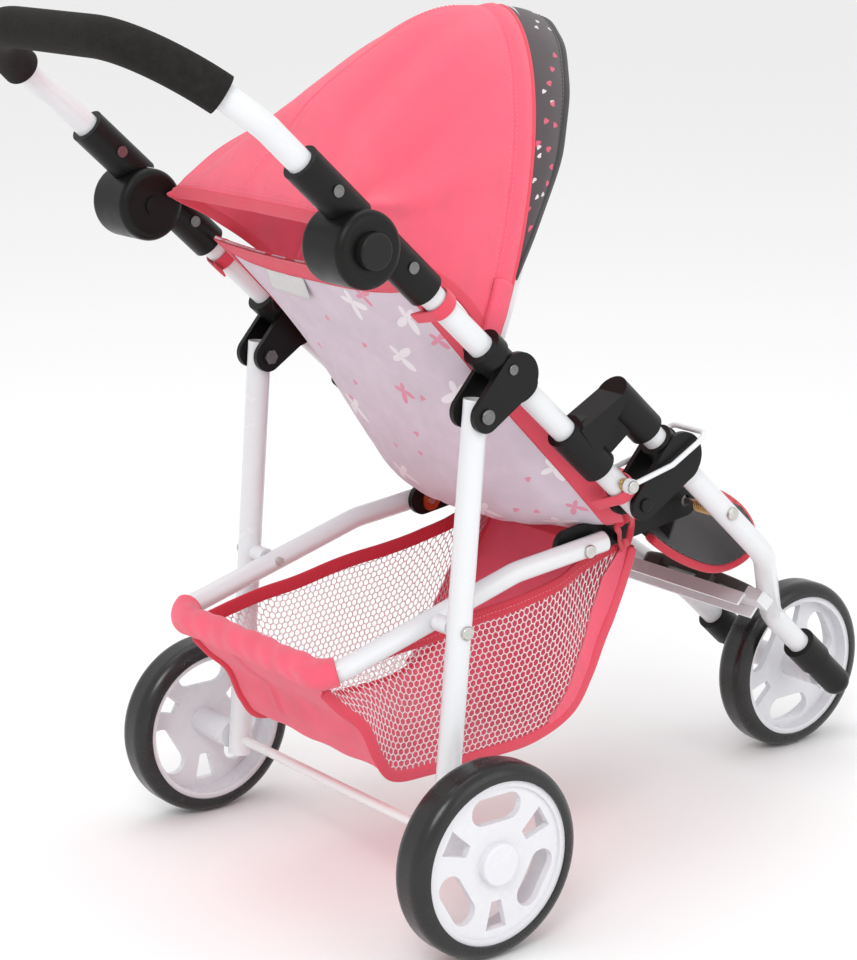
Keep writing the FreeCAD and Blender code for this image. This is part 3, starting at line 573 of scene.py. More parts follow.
@dataclass(frozen=True)
class FoamRubber:
    """Closed-cell foam on the push bar."""

    colour: tuple[float, float, float] = (0.012, 0.0105, 0.0095)

    def build(self) -> bpy.types.Material:
        """The material: pores as small cells, with a soft mottled tone."""
        s = Shader("grip foam")
        pores = s.cells(620.0)
        mottled = s.noise(150.0, 5.0, 0.7)
        ground = s.mix(s.remap(mottled, 0.35, 0.7, 0.0, 1.0), rgba([c * 0.7 for c in self.colour]),
                       rgba([c * 1.7 for c in self.colour]))
        height = s.remap(pores, 0.0, 0.5, 0.0, 1.0) + mottled * 0.8
        rough = s.remap(mottled, 0.3, 0.7, 0.72, 0.9)
        return s.finish({"Base Color": ground, "Roughness": rough, "Normal": s.bump(height, 0.55, 0.0005),
                         "Specular IOR Level": 0.2})


@dataclass(frozen=True)
class Metal:
    """Bare or plated metal."""

    name: str
    colour: tuple[float, float, float]
    rough: float = 0.3

    def build(self) -> bpy.types.Material:
        """The material: streaked roughness and slight tarnish."""
        s = Shader(self.name)
        tarnish = s.remap(s.noise(260.0, 4.0), 0.4, 0.75, 0.0, 0.5)
        ground = s.mix(tarnish, rgba(self.colour), rgba([c * 0.62 for c in self.colour]))
        rough = s.remap(s.noise(500.0, 3.0), 0.3, 0.7, self.rough - 0.08, self.rough + 0.12)
        return s.finish({"Base Color": ground, "Metallic": 1.0, "Roughness": rough,
                         "Normal": s.bump(s.noise(1500.0, 2.0), 0.1, 0.0002)})


@dataclass(frozen=True)
class TyreRubber:
    """Glossy hard tyre."""

    def build(self) -> bpy.types.Material:
        """The material: near-black gloss with a little dust."""
        s = Shader("tyre")
        dust = s.remap(s.noise(30.0, 6.0, 0.7), 0.5, 0.8, 0.0, 0.25)
        ground = s.mix(dust, rgba((0.009, 0.009, 0.009)), rgba((0.035, 0.033, 0.03)))
        rough = s.remap(s.noise(80.0, 4.0), 0.3, 0.7, 0.2, 0.34)
        ripple = s.bump(s.noise(300.0, 3.0), 0.08, 0.0004)
        return s.finish({"Base Color": ground, "Roughness": rough, "Normal": ripple})


class Print(Enum):
    """What is printed on a cloth."""

    PLAIN = "plain"
    HEARTS = "hearts"
    BUTTERFLIES = "butterflies"


@dataclass(frozen=True)
class Woven:
    """Woven cloth, plain or with a small scattered print."""

    name: str
    colour: tuple[float, float, float]
    motif: Print = Print.PLAIN
    thread: float = 0.9
    rough: float = 0.78
    inks: tuple[tuple[float, float, float], ...] = ()

    def weave(self, s: Shader) -> tuple[Sock, Sock]:
        """A plain weave: two crossed waves that take turns on top.

        Returns:
            The height of the weave, and a slow unevenness of its threads.
        """
        u, v = s.uv()
        turn = 2 * math.pi / (self.thread * 0.001)
        warp, weft = (u * turn).sin(), (v * turn).sin()
        checks = ((u * (turn / 2)).sin() * (v * (turn / 2)).sin()).absolute()
        uneven = s.noise(55.0, 3.0, 0.6)
        return warp.absolute() * 0.5 + weft.absolute() * 0.5 + checks * 0.6, uneven

    def scatter(self, s: Shader, pitch: float, size: float, seed: float,
                shape: Callable[[Sock, Sock], Sock], share: float) -> Sock:
        """Stamps a small shape once in each square of a grid, moved and turned by chance.

        Args:
            s: the shader.
            pitch: the squares' side in metres.
            size: half the shape's height in metres.
            seed: the pattern's number.
            shape: gives a mask for local coordinates that run from -1 to 1 over the shape.
            share: the share of squares that are stamped.

        Returns:
            The stamp's mask.
        """
        u, v = s.uv()
        a, b = u / pitch + 100.0 + seed, v / pitch + 100.0 - seed
        b = b + a.floor() * 0.5
        cell_a, cell_b = a.floor(), b.floor()
        first, second, third = (s.chance(cell_a, cell_b, seed + k) for k in (0.3, 1.7, 3.1))
        room = max(0.5 - size / pitch * 1.1, 0.0)
        x = a.fract() - 0.5 - (first - 0.5) * (2 * room)
        y = b.fract() - 0.5 - (second - 0.5) * (2 * room)
        angle = (third - 0.5) * 2.6
        cos, sin = (angle + math.pi / 2).sin(), angle.sin()
        x, y = x * (pitch / size), y * (pitch / size)
        turned_x, turned_y = x * cos + y * sin, y * cos - x * sin
        stamped = s.chance(cell_a, cell_b, seed + 9.0).below(share, 0.001)
        return shape(turned_x, turned_y) * stamped

    def build(self) -> bpy.types.Material:
        """The material: weave in the bump and, as painted shade, in the colour, with the print over it."""
        s = Shader(self.name)
        height, uneven = self.weave(s)
        # the weave's crests are painted lighter and its hollows darker: painted shade; the slow unevenness is
        # the threads' own tone
        dark, light = [c * 0.80 for c in self.colour], [min(c * 1.10, 1.0) for c in self.colour]
        tone = s.remap(height, 0.3, 1.3, 0.25, 0.75) + s.remap(uneven, 0.3, 0.7, -0.2, 0.2)
        ground = s.mix(tone, rgba(dark), rgba(light))
        if self.motif is Print.HEARTS:
            for pitch, size, seed, ink, share in (
                (0.0125, 0.0019, 2.0, 0, 0.45), (0.0145, 0.0024, 7.0, 1, 0.6),
            ):
                mask = self.scatter(s, pitch, size, seed, heart, share)
                ground = s.mix(mask * 0.9, ground, rgba(self.inks[ink]))
        if self.motif is Print.BUTTERFLIES:
            for pitch, size, seed, ink, shape, share in (
                (0.062, 0.0105, 3.0, 0, butterfly, 0.75), (0.055, 0.0075, 11.0, 1, butterfly, 0.42),
                (0.034, 0.0026, 17.0, 1, heart, 0.55),
            ):
                mask = self.scatter(s, pitch, size, seed, shape, share)
                ground = s.mix(mask * 0.85, ground, rgba(self.inks[ink]))
        rough = s.remap(uneven, 0.3, 0.7, self.rough - 0.06, self.rough + 0.1)
        creases = s.bump(s.noise(22.0, 3.0, 0.5), 0.35, 0.004)
        return s.finish({"Base Color": ground, "Roughness": rough,
                         "Normal": s.bump(height, 0.5, 0.0003, creases), "Sheen Weight": 0.25,
                         "Sheen Roughness": 0.5})


def heart(x: Sock, y: Sock) -> Sock:
    """A heart: x squared plus (y less a share of |x|) squared is under 1."""
    lift = y * 1.15 - (x.absolute() ** 0.7) * 0.75 + 0.15
    return (x * x * 1.05 + lift * lift).below(0.8, 0.12)


def butterfly(x: Sock, y: Sock) -> Sock:
    """Two pairs of oval wings that rise and fall away from the middle, the upper ones larger."""
    side = x.absolute()
    tall = y - side * 0.85
    upper = ((side - 0.46) / 0.46) ** 2.0 + ((tall - 0.06) / 0.42) ** 2.0
    low = y + side * 0.75
    lower = ((side - 0.30) / 0.32) ** 2.0 + ((low + 0.26) / 0.34) ** 2.0
    return upper.low(lower).below(1.0, 0.1)


@dataclass(frozen=True)
class HexMesh:
    """Knitted mesh with six-sided holes."""

    colour: tuple[float, float, float] = (0.88, 0.74, 0.77)
    pitch: float = 0.0047

    def build(self) -> bpy.types.Material:
        """The material: the distance to the nearest cell wall of a honeycomb gives the threads."""
        s = Shader("hex mesh")
        u, v = s.uv()
        a, b = u / self.pitch, v / self.pitch
        inside = [self.wall(a, b, 0.0, 0.0), self.wall(a, b, 0.5, math.sqrt(3) / 2)]
        core = inside[0].low(inside[1])
        thread = s.remap(core, 0.415, 0.455, 0.0, 1.0)
        ground = s.mix(s.noise(400.0), rgba([c * 0.86 for c in self.colour]), rgba(self.colour))
        return s.finish({"Base Color": ground, "Roughness": 0.7, "Alpha": thread,
                         "Normal": s.bump(core, 0.4, 0.0004)})

    def wall(self, a: Sock, b: Sock, shift_a: float, shift_b: float) -> Sock:
        """Hexagonal distance from the centres of one of the honeycomb's two grids of cells."""
        root3 = math.sqrt(3)
        x = ((a + shift_a + 100.5).fract() - 0.5).absolute()
        y = (((b + shift_b) / root3 + 100.5).fract() - 0.5).absolute() * root3
        return x.high(x * 0.5 + y * (root3 / 2))


@dataclass(frozen=True)
class Ribbon:
    """Ribbed binding tape."""

    name: str
    colour: tuple[float, float, float]
    ribs: float = 0.0011

    def build(self) -> bpy.types.Material:
        """The material: fine ribs across the tape, in the bump and, as painted shade, in the colour."""
        s = Shader(self.name)
        _, v = s.uv()
        rib = (v * (2 * math.pi / self.ribs)).sin()
        # the ribs' crests are painted lighter and their troughs darker: painted shade; the noise is the tape's
        # own uneven tone
        tone = s.remap(rib, -1.0, 1.0, 0.0, 0.5) + s.noise(90.0, 3.0) * 0.5
        ground = s.mix(tone, rgba([c * 0.72 for c in self.colour]), rgba(self.colour))
        rough = s.remap(s.noise(90.0, 3.0), 0.3, 0.7, 0.6, 0.75)
        return s.finish({"Base Color": ground, "Roughness": rough, "Normal": s.bump(rib, 0.35, 0.0003),
                         "Sheen Weight": 0.2})


class Finishes:
    """Every finish of the stroller, built once."""

    def __init__(self) -> None:
        """Builds the materials."""
        coral = (0.90, 0.105, 0.175)
        red = (0.68, 0.02, 0.05)
        made: dict[str, Any] = {
            "white": PowderCoat(),
            "black": Moulding("black plastic", (0.0055, 0.0055, 0.0052), 0.36, 0.22, 0.05),
            "button": Moulding("button plastic", (0.012, 0.012, 0.0115), 0.34, 0.15, 0.08),
            "step": Moulding("step plastic", (0.075, 0.07, 0.065), 0.48, 0.45, 0.2),
            "rim": Moulding("rim plastic", (0.74, 0.74, 0.77), 0.3, 0.1, 0.2),
            "bow": Moulding("bow plastic", (0.78, 0.78, 0.80), 0.35, 0.1, 0.1),
            "foam": FoamRubber(),
            "zinc": Metal("zinc plate", (0.62, 0.61, 0.58), 0.32),
            "rod": PowderCoat((0.80, 0.80, 0.80)),
            "rivet": Metal("dark rivets", (0.20, 0.20, 0.20), 0.3),
            "brass": Metal("spring wire", (0.60, 0.40, 0.17), 0.3),
            "copper": Metal("copper washer", (0.60, 0.24, 0.10), 0.32),
            "tyre": TyreRubber(),
            "coral": Woven("coral cloth", coral),
            "seat": Woven("seat cloth", (0.72, 0.62, 0.71), Print.BUTTERFLIES,
                          inks=((0.93, 0.90, 0.93), (0.80, 0.24, 0.36))),
            "visor": Woven("visor cloth", (0.075, 0.060, 0.066), Print.HEARTS,
                           inks=((0.80, 0.72, 0.74), (0.72, 0.10, 0.18))),
            "dark": Woven("flap cloth", (0.024, 0.020, 0.023)),
            "mesh": HexMesh(),
            "red_tape": Ribbon("red binding", red),
            "coral_tape": Ribbon("coral binding", (0.84, 0.065, 0.115)),
            "dark_tape": Ribbon("dark binding", (0.03, 0.027, 0.03)),
            "label": Ribbon("label satin", (0.80, 0.80, 0.80), 0.0006),
            "thread": Ribbon("coral thread", (0.95, 0.22, 0.30)),
        }
        self.made: dict[str, bpy.types.Material] = {key: finish.build() for key, finish in made.items()}

    def __getitem__(self, key: str) -> bpy.types.Material:
        """The material of that name."""
        return self.made[key]


# ---- the pieces that CAD gives --------------------------------------------------------------------


@dataclass
class HardParts:
    """The metal and plastic nodes, each with its finish."""

    finishes: Finishes
    by_finish: tuple[tuple[str, str], ...] = (
        ("rivet", "leg_bracket_rivets leg_pivot_bolts sleeve_screws"),
        ("zinc", "catch_pin rear_push_nuts basket_bolts footrest_screws link_bolts "
                "link_plate_bolts"),
        ("black", "fold_bracket_rivets fold_pivot_bolts adjuster_bolts leg_bracket fold_bracket "
                 "adjuster_base adjuster_cap fork_cap lock_slider link_plate hood_clip"),
        ("white", "main_tube handle_tube rear_leg front_tube basket_tube footrest_bar safety_catch"),
        ("button", "adjuster_button"),
        ("foam", "handle_grip"),
        ("rod", "rear_axle front_axle"),
        ("brass", "button_spring catch_spring link_springs"),
        ("copper", "copper_washers"),
        ("tyre", "rear_tyre front_tyre"),
        ("rim", "rear_rim front_rim hub_cap basket_spacers front_spacers"),
        ("step", "footrest_plate"),
        ("bow", "hood_bow"),
    )

    def dress(self, nodes: dict[str, bpy.types.Object]) -> None:
        """Gives each node the finish that its name calls for."""
        keys = {prefix: key for key, names in self.by_finish for prefix in names.split()}
        for name, obj in nodes.items():
            found = [prefix for prefix in keys if name.startswith(prefix)]
            if not found:
                continue
            key = keys[max(found, key=len)]
            obj.data.materials.clear()
            obj.data.materials.append(self.finishes[key])
            LOG.info("%s: %s", name, key)


# ---- soft pieces ----------------------------------------------------------------------------------


@dataclass
class SoftPiece:
    """What the cloth pieces share: their finishes, and how one of their meshes is dressed."""

    finishes: Finishes
    slot: ClassVar[str] = ""

    def dress(self, obj: bpy.types.Object, finish: str, slot: str = "") -> bpy.types.Object:
        """Gives a mesh its material."""
        obj.data.materials.clear()
        obj.data.materials.append(self.finishes[finish])
        return obj

    def tape(self, name: str, line: np.ndarray, out: np.ndarray, size: tuple[Any, float, float],
             finish: str, slot: str = "") -> bpy.types.Object:
        """A tape along a line; size is half its width, half its thickness and its section's power."""
        return self.dress(sweep(name, line, out, *size), finish, slot)

    def sew(self, name: str, line: np.ndarray, out: np.ndarray) -> bpy.types.Object:
        """A row of coral stitches."""
        return self.dress(stitches(name, line, out), "thread")

    def declare(self, obj: bpy.types.Object, grid: np.ndarray, held: str, rests_on: list[Any]) -> None:
        """Takes a sheet, its grid, how it is held and what it rests on, and does nothing with them."""


def arch_points(angles: np.ndarray, base: np.ndarray, lean: np.ndarray, half: np.ndarray,
                height: np.ndarray, power: np.ndarray) -> np.ndarray:
    """Arches: x = W cos(a)^(2/p), h = H sin(a)^(2/p), with h along a line that leans forward.

    Args:
        angles: (nu,) angles over the arch, 0 at its left foot and pi at its right foot.
        base: (nv, 2) y, z of the feet.
        lean: (nv,) lean in degrees.
        half: (nv,) W.
        height: (nv,) H.
        power: (nv,) p.

    Returns:
        (nu, nv, 3) points.
    """
    a = angles[:, None]
    x = half * np.sign(np.cos(a)) * np.abs(np.cos(a)) ** (2 / power)
    h = height * np.abs(np.sin(a)) ** (2 / power)
    turn = np.radians(lean)
    return np.stack([x, base[:, 0] - h * np.sin(turn), base[:, 1] + h * np.cos(turn)], axis=2)


@dataclass
class Hood(SoftPiece):
    """The folding hood: one curved sheet, with a channel for the bow, and the dark peak."""

    slot: ClassVar[str] = "hood_cloth"

    sections: np.ndarray = field(default_factory=lambda: np.array([
        # base y, base z, lean, half width, height, power
        (54.0, 456.0, -35.0, 94.0, 3.0, 3.2),
        (41.0, 449.5, -4.0, 95.5, 34.0, 2.6),
        (19.0, 438.0, 5.5, 98.5, 84.0, 1.65),
        (-8.0, 421.0, 12.0, 102.0, 131.0, 1.62),
        (-30.0, 403.0, 18.5, 104.0, 174.5, 1.7),
        (-50.0, 374.0, 25.0, 106.0, 213.0, 1.68),
    ]))
    # where each crease stands on the arch, its lean, its width and its height
    creases: tuple[tuple[float, float, float, float], ...] = (
        (0.14, 0.12, 0.020, 4.2), (0.20, 0.20, 0.026, -4.0), (0.28, 0.26, 0.030, 3.6),
        (0.36, 0.20, 0.030, -2.4))
    thick: float = 1.3
    count_u: int = 161
    count_v: int = 110
    channel: float = 17.0

    def surface(self) -> np.ndarray:
        """The hood's middle surface, rear to front, with its slack and its channel.

        Returns:
            (nu, nv, 3) millimetres; the outside of the cloth is on the side of du x dv.
        """
        knots = np.linspace(0, 1, len(self.sections))
        t = np.linspace(0, 1, self.count_v)
        rows = smooth_rows(knots, self.sections, t)
        angles = np.linspace(0, math.pi, self.count_u)
        swell = np.sin(np.pi * t)[None]
        grid = arch_points(angles, rows[:, :2], rows[:, 2], rows[:, 3], rows[:, 4], rows[:, 5])
        n = surface_normals(grid)
        _, v = run_lengths(grid)
        from_front = v[:, -1:] - v
        a = angles[:, None] / math.pi
        side = np.abs(a - 0.5) * 2
        # the cloth hangs a little between the rear hem and the channel, and pulls in folds towards the feet
        slack = -3.2 * swell**2 * (1 - side**3)
        folds = np.sin(t[None] * 17.0 + a * 9.0) * 0.9 * side**3 * swell
        folds = folds + np.sin(t[None] * 9.0 - a * 21.0 + 1.3) * 0.7 * side**2 * swell
        ripple = np.sin(a * 31.0 + t[None] * 5.0) * 0.35 * swell
        for centre, lean, wide, deep in self.creases:
            for way in (a, 1 - a):
                line = centre + lean * (t[None] - 0.5)
                ripple = ripple + deep * np.exp(-(((way - line) / wide) ** 2)) * swell**1.5
        tube = 1.9 * np.exp(-((from_front - self.channel * 0.48) / (self.channel * 0.33)) ** 2)
        groove = -1.0 * np.exp(-((from_front - self.channel) / 1.5) ** 2)
        hem = 0.5 * np.exp(-(((v - v[:, :1]) - 8.0) / 5.0) ** 2)
        seam = -0.7 * np.exp(-((a - 0.5) * 150) ** 2) * (from_front > self.channel)
        return grid + n * (slack + folds + ripple + tube + groove + hem + seam)[:, :, None]

    def along(self, grid: np.ndarray, inset: float) -> tuple[np.ndarray, np.ndarray]:
        """The line on the hood this far behind its front edge, with the way out of the cloth."""
        _, v = run_lengths(grid)
        n = surface_normals(grid)
        target = v[:, -1] - inset
        line, out = (np.array([[np.interp(target[i], v[i], rows[i, :, k]) for k in range(3)]
                               for i in range(len(grid))]) for rows in (grid, n))
        return line, out

    def build(self) -> None:
        """Makes the hood's cloth, tapes, stitches and peak."""
        grid = self.surface()
        n = surface_normals(grid)
        lift = self.thick / 2 + 0.1
        body = self.dress(cloth("hood_cloth", grid, self.thick), "coral")
        hem = (4.2, 1.05, 4.0)
        trims = [self.tape("hood_rear_tape", grid[:, 0], n[:, 0], hem, "coral_tape")]
        for name, row in (("left", 0), ("right", -1)):
            trims.append(self.tape("hood_side_tape_" + name, grid[row], n[row], (3.6, 1.0, 4.0), "coral_tape"))
        inset = slice(6, self.count_u - 6)
        for k, back in enumerate((self.channel - 1.8, self.channel + 1.8)):
            line, out = self.along(grid, back)
            trims.append(self.sew(f"hood_channel_stitches_{k}", (line + out * lift)[inset], out[inset]))
        line, out = self.along(grid, 1.0)
        trims.append(self.tape("hood_front_piping", line + out * 0.4, out, (1.5, 1.3, 2.0), "coral_tape"))
        middle = self.count_u // 2
        for k, shift in enumerate((-2, 2)):
            row = (middle + shift, slice(10, -14))
            trims.append(self.sew(f"hood_top_stitches_{k}", grid[row] + n[row] * lift, n[row]))
        row = (slice(8, -8), 7)
        trims.append(self.sew("hood_rear_stitches", grid[row] + n[row] * lift, n[row]))
        for obj in [body] + trims:
            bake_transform(obj)
        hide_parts("hood_fabric")
        self.declare(body, grid, "stretched", ["hood_bow", "main_tube_right", "main_tube_left"])
        self.pockets()
        self.peak(grid)

    def pockets(self) -> None:
        """The cloth cups over the bow's feet."""
        for side in Side:
            x = side.value * 106.5
            path = spline([(x - side.value * 2.0, -58.0, 412.0), (x, -52.0, 397.0), (x, -46.0, 381.0),
                           (x, -43.0, 371.0)], 40)
            half = np.interp(np.linspace(0, 1, 40), [0, 0.5, 0.85, 1], [7.5, 7.5, 6.0, 3.5])
            cup = self.tape("hood_pocket_" + side.name.lower(), path, np.array([side.value, 0.0, 0.0]),
                            (half, 2.4, 3.0), "coral")
            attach(cup, "hood_front")

    def peak(self, hood: np.ndarray) -> None:
        """The dark crescent ahead of the channel, stiff, with a taped rim.

        Args:
            hood: the hood's surface, whose last column is the edge that the peak is sewn to.
        """
        low = 0.26
        angles = np.linspace(low, math.pi - low, 141)
        whole = np.linspace(0, math.pi, self.count_u)
        inner = np.stack([np.interp(angles, whole, hood[:, -1, k]) for k in range(3)], axis=1)
        one = np.ones(1)
        outer = arch_points(angles, np.array([[-63.0, 392.0]]), 33.0 * one, 103.0 * one, 199.0 * one,
                            1.72 * one)[:, 0]
        share = np.clip((angles - low) / 0.42, 0, 1) * np.clip((math.pi - low - angles) / 0.42, 0, 1)
        share = 0.12 + 0.88 * share * (2 - share)
        outer = inner + (outer - inner) * share[:, None]
        t = np.linspace(0, 1, 26)
        grid = inner[:, None] + (outer - inner)[:, None] * t[None, :, None]
        n = surface_normals(grid)
        bulge = 2.0 * np.sin(np.pi * t)[None] * share[:, None] + 0.35 * np.sin(angles * 23)[:, None] * t[None]
        grid = grid + n * bulge[:, :, None]
        n = surface_normals(grid)
        peak = self.dress(cloth("peak_cloth", grid, 1.6), "visor", "visor_cloth")
        rim = self.tape("peak_tape", grid[:, -1], n[:, -1], (2.8, 1.5, 3.0), "dark_tape", "visor_cloth")
        row = grid[2:-2, -5] + n[2:-2, -5] * 0.95
        sewn = self.dress(stitches("peak_stitches", row, n[2:-2, -5]), "dark_tape", "visor_cloth")
        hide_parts("hood_visor")
        for obj in (peak, rim, sewn):
            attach(obj, "hood_front")
        self.declare(peak, grid, "stretched", ["hood_bow"])


@dataclass
class Seat(SoftPiece):
    """The sling seat: one sheet that hangs between the side tubes, taped along its edges."""

    slot: ClassVar[str] = "seat_cloth"

    edge: tuple[tuple[float, float], ...] = (
        (19.0, 423.5), (-4.0, 403.0), (-34.0, 375.0), (-68.0, 342.0), (-103.0, 309.0), (-134.0, 279.0),
        (-156.0, 252.0), (-176.0, 239.5), (-204.0, 246.5), (-236.0, 256.0))
    middle: tuple[tuple[float, float], ...] = (
        (14.5, 418.5), (-5.0, 388.0), (-24.0, 355.0), (-42.0, 321.0), (-62.0, 288.0), (-84.0, 258.5),
        (-112.0, 239.0), (-152.0, 232.0), (-194.0, 238.0), (-236.0, 250.0))
    half: tuple[float, ...] = (101.0, 104.0, 105.5, 105.5, 105.5, 105.5, 104.0, 92.0, 88.0, 86.0)
    thick: float = 1.6
    count_u: int = 121
    count_v: int = 170

    def surface(self) -> np.ndarray:
        """Cross-sections that hang from the edge line and are flat in the middle: depth times 1 - |u|^p.

        Returns:
            (nu, nv, 3) millimetres, right edge to left edge, top to front.
        """
        knots = np.linspace(0, 1, len(self.half))
        t = np.linspace(0, 1, self.count_v)
        edge = smooth_rows(knots, np.array(self.edge), t)
        middle = smooth_rows(knots, np.array(self.middle), t)
        half = smooth_rows(knots, np.array(self.half), t)
        u = np.sin(np.linspace(-1, 1, self.count_u) * math.pi / 2)[:, None]
        power = 3.2
        drop = 1 - np.abs(u) ** power
        squeeze = 1 - 0.05 * np.sin(np.pi * t)[None] * (1 - u**2)
        x = u * half[None] * squeeze
        y = edge[None, :, 0] + (middle - edge)[None, :, 0] * drop
        z = edge[None, :, 1] + (middle - edge)[None, :, 1] * drop
        grid = np.stack([x + 0 * y, y, z], axis=2)
        n = surface_normals(grid)
        a, b = np.abs(u), t[None]
        # soft dents where the cloth is pulled to its corners, and one long crease by each side
        dents = 2.2 * np.sin(b * 11 + u * 2.1) * np.exp(-((a - 0.72) / 0.2) ** 2) * np.sin(np.pi * b)
        crease = 3.0 * np.exp(-(((b - 0.62) - 0.22 * (1 - a)) / 0.05) ** 2) * a**2
        pull = 1.6 * np.sin(u * 17 + b * 9) * np.exp(-((b - 0.86) / 0.09) ** 2)
        fine = 0.5 * np.sin(u * 29 - b * 13) * np.sin(np.pi * b)
        return grid + n * (dents - crease + pull + fine)[:, :, None]

    def build(self) -> None:
        """Makes the sling, its tapes, its hanging loops and the label."""
        grid = self.surface()
        n = surface_normals(grid)
        body = self.dress(cloth("seat_cloth", grid, self.thick), "seat")
        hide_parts("seat_fabric")
        self.declare(body, grid, "hung", ["main_tube_right", "main_tube_left"])
        wide = 8
        u, _ = run_lengths(grid)
        broad = int(np.searchsorted(u[:, 60] - u[0, 60], 15.0))
        made = [body]
        for name, part, extra in (
            ("top_tape", grid[:, :wide], 1.5), ("side_tape_right", grid[:broad, 4:], 1.4),
            ("side_tape_left", grid[-broad:, 4:], 1.4), ("front_tape", grid[:, -7:], 1.6),
        ):
            made.append(self.dress(cloth("seat_" + name, part, self.thick + extra), "coral_tape"))
        row = (slice(4, -4), wide - 2)
        for back in (-1, 1):
            line = grid[row] + n[row] * (back * (self.thick / 2 + 0.85))
            made.append(self.sew(f"seat_top_stitches_{back + 1}", line, n[row] * back))
        made += self.loops()
        made.append(self.label(grid, n))
        for obj in made:
            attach(obj, "frame")

    def loops(self) -> list[bpy.types.Object]:
        """The cloth loops round the side tubes at the sling's four corners."""
        made = []
        radius = 9.3
        turn = np.linspace(math.radians(-70), math.radians(250), 44)
        rise = radius * np.sin(turn)
        for side in Side:
            for name, s, drop in (("top", 217.0, -13.0), ("low", 15.5, -16.0)):
                x = side.value * TUBE_X + radius * np.cos(turn)
                path = np.stack([x, FOLD[0] + s * math.cos(TILT) - rise * math.sin(TILT),
                                 FOLD[1] + s * math.sin(TILT) + rise * math.cos(TILT)], axis=1)
                first = np.linspace(tube_point(s, drop, side.value * 106.5), path[0], 6)[:-1]
                last = np.linspace(path[-1], tube_point(s, drop, side.value * 106.0), 6)[1:]
                line = np.concatenate([first, path, last])
                out = line - tube_point(s, 0.0, side.value * TUBE_X)
                out /= np.linalg.norm(out, axis=1, keepdims=True)
                made.append(self.tape(f"seat_loop_{name}_{side.name.lower()}", line, out, (4.6, 0.8, 4.0),
                                      "coral_tape"))
        return made

    def label(self, grid: np.ndarray, n: np.ndarray) -> bpy.types.Object:
        """A blank satin label sewn under the top tape, on the back."""
        part = (slice(66, 84), slice(7, 16))
        way = 1.0 if float(n[part][..., 1].mean()) > 0 else -1.0
        lift = np.linspace(1.2, 4.0, grid[part].shape[1])[None, :, None]
        return self.dress(cloth("seat_label", grid[part] + n[part] * way * lift, 0.35), "label")


@dataclass
class LegRest(SoftPiece):
    """The padded flap in front of the seat, bent down at its sides, with a broad taped rim."""

    slot: ClassVar[str] = "flap_cloth"

    hinge: tuple[float, float] = (-210.5, 229.0)
    reach: float = 114.0
    half: float = 80.0
    thick: float = 4.6

    def surface(self) -> np.ndarray:
        """An arch across, carried forward and down, with rounded front corners.

        Returns:
            (nu, nv, 3) millimetres.
        """
        u = np.linspace(-1, 1, 81)[:, None]
        t = np.linspace(0, 1, 71)[None]
        reach = self.reach * (1 - 0.10 * np.abs(u) ** 6)
        half = self.half * (1 - 0.10 * np.clip((t - 0.75) / 0.25, 0, 1) ** 2.5)
        x = u * half
        y = self.hinge[0] - reach * t
        droop = 13.0 + 24.0 * np.sin(np.pi * t * 0.85)
        z = self.hinge[1] + 2.0 - 7.0 * t - 3.0 * t**2 - droop * np.abs(u) ** 2.6
        z = z + 0.9 * np.sin(u * 7 + t * 8) * np.sin(np.pi * t)
        return np.stack([x + 0 * t, y, z + 0 * u], axis=2)[::-1]

    def build(self) -> None:
        """Makes the flap and its rim."""
        grid = self.surface()
        n = surface_normals(grid)
        pad = self.dress(cloth("leg_rest_pad", grid, self.thick), "dark")
        puff = pad.modifiers.new("soft edge", "BEVEL")
        puff.width, puff.segments, puff.limit_method = 0.0016, 3, "ANGLE"
        rim = np.concatenate([grid[0], grid[1:, -1], grid[-1, -2::-1]])
        out = np.concatenate([n[0], n[1:, -1], n[-1, -2::-1]])
        inward = np.zeros_like(rim)
        inward[:, 0] = -np.sign(rim[:, 0]) * np.clip(np.abs(rim[:, 0]) / 20, 0, 1) * 2.0
        tape = self.tape("leg_rest_tape", spline(rim + inward, 240), self.along(out, 240), (5.4, 3.1, 3.5),
                         "red_tape")
        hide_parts("leg_rest")
        for obj in (pad, tape):
            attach(obj, "leg_flap")
        self.web(grid)

    def web(self, pad: np.ndarray) -> None:
        """The strip of cloth that joins the seat's front edge to the pad.

        Args:
            pad: the pad's surface.
        """
        low = pad[3:-3, 13] + np.array([0.0, 0.0, 2.6])
        x = low[:, 0]
        rise = 250.6 + 5.4 * np.abs(x / 86.0) ** 3.2
        high = np.stack([x * 1.03, np.full_like(x, -234.0), rise], axis=1)
        t = np.linspace(0, 1, 12)[None, :, None]
        grid = high[:, None] * (1 - t) + low[:, None] * t
        grid[:, :, 1] -= 4.0 * np.sin(np.pi * t[..., 0])
        web = self.dress(cloth("leg_rest_web", grid, 1.2), "dark")
        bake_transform(web)
        self.declare(web, grid, "stretched", ["leg_rest_pad"])

    def along(self, rows: np.ndarray, count: int) -> np.ndarray:
        """Resamples directions along the rim."""
        t = np.linspace(0, 1, len(rows))
        return np.stack([np.interp(np.linspace(0, 1, count), t, rows[:, k]) for k in range(3)], axis=1)


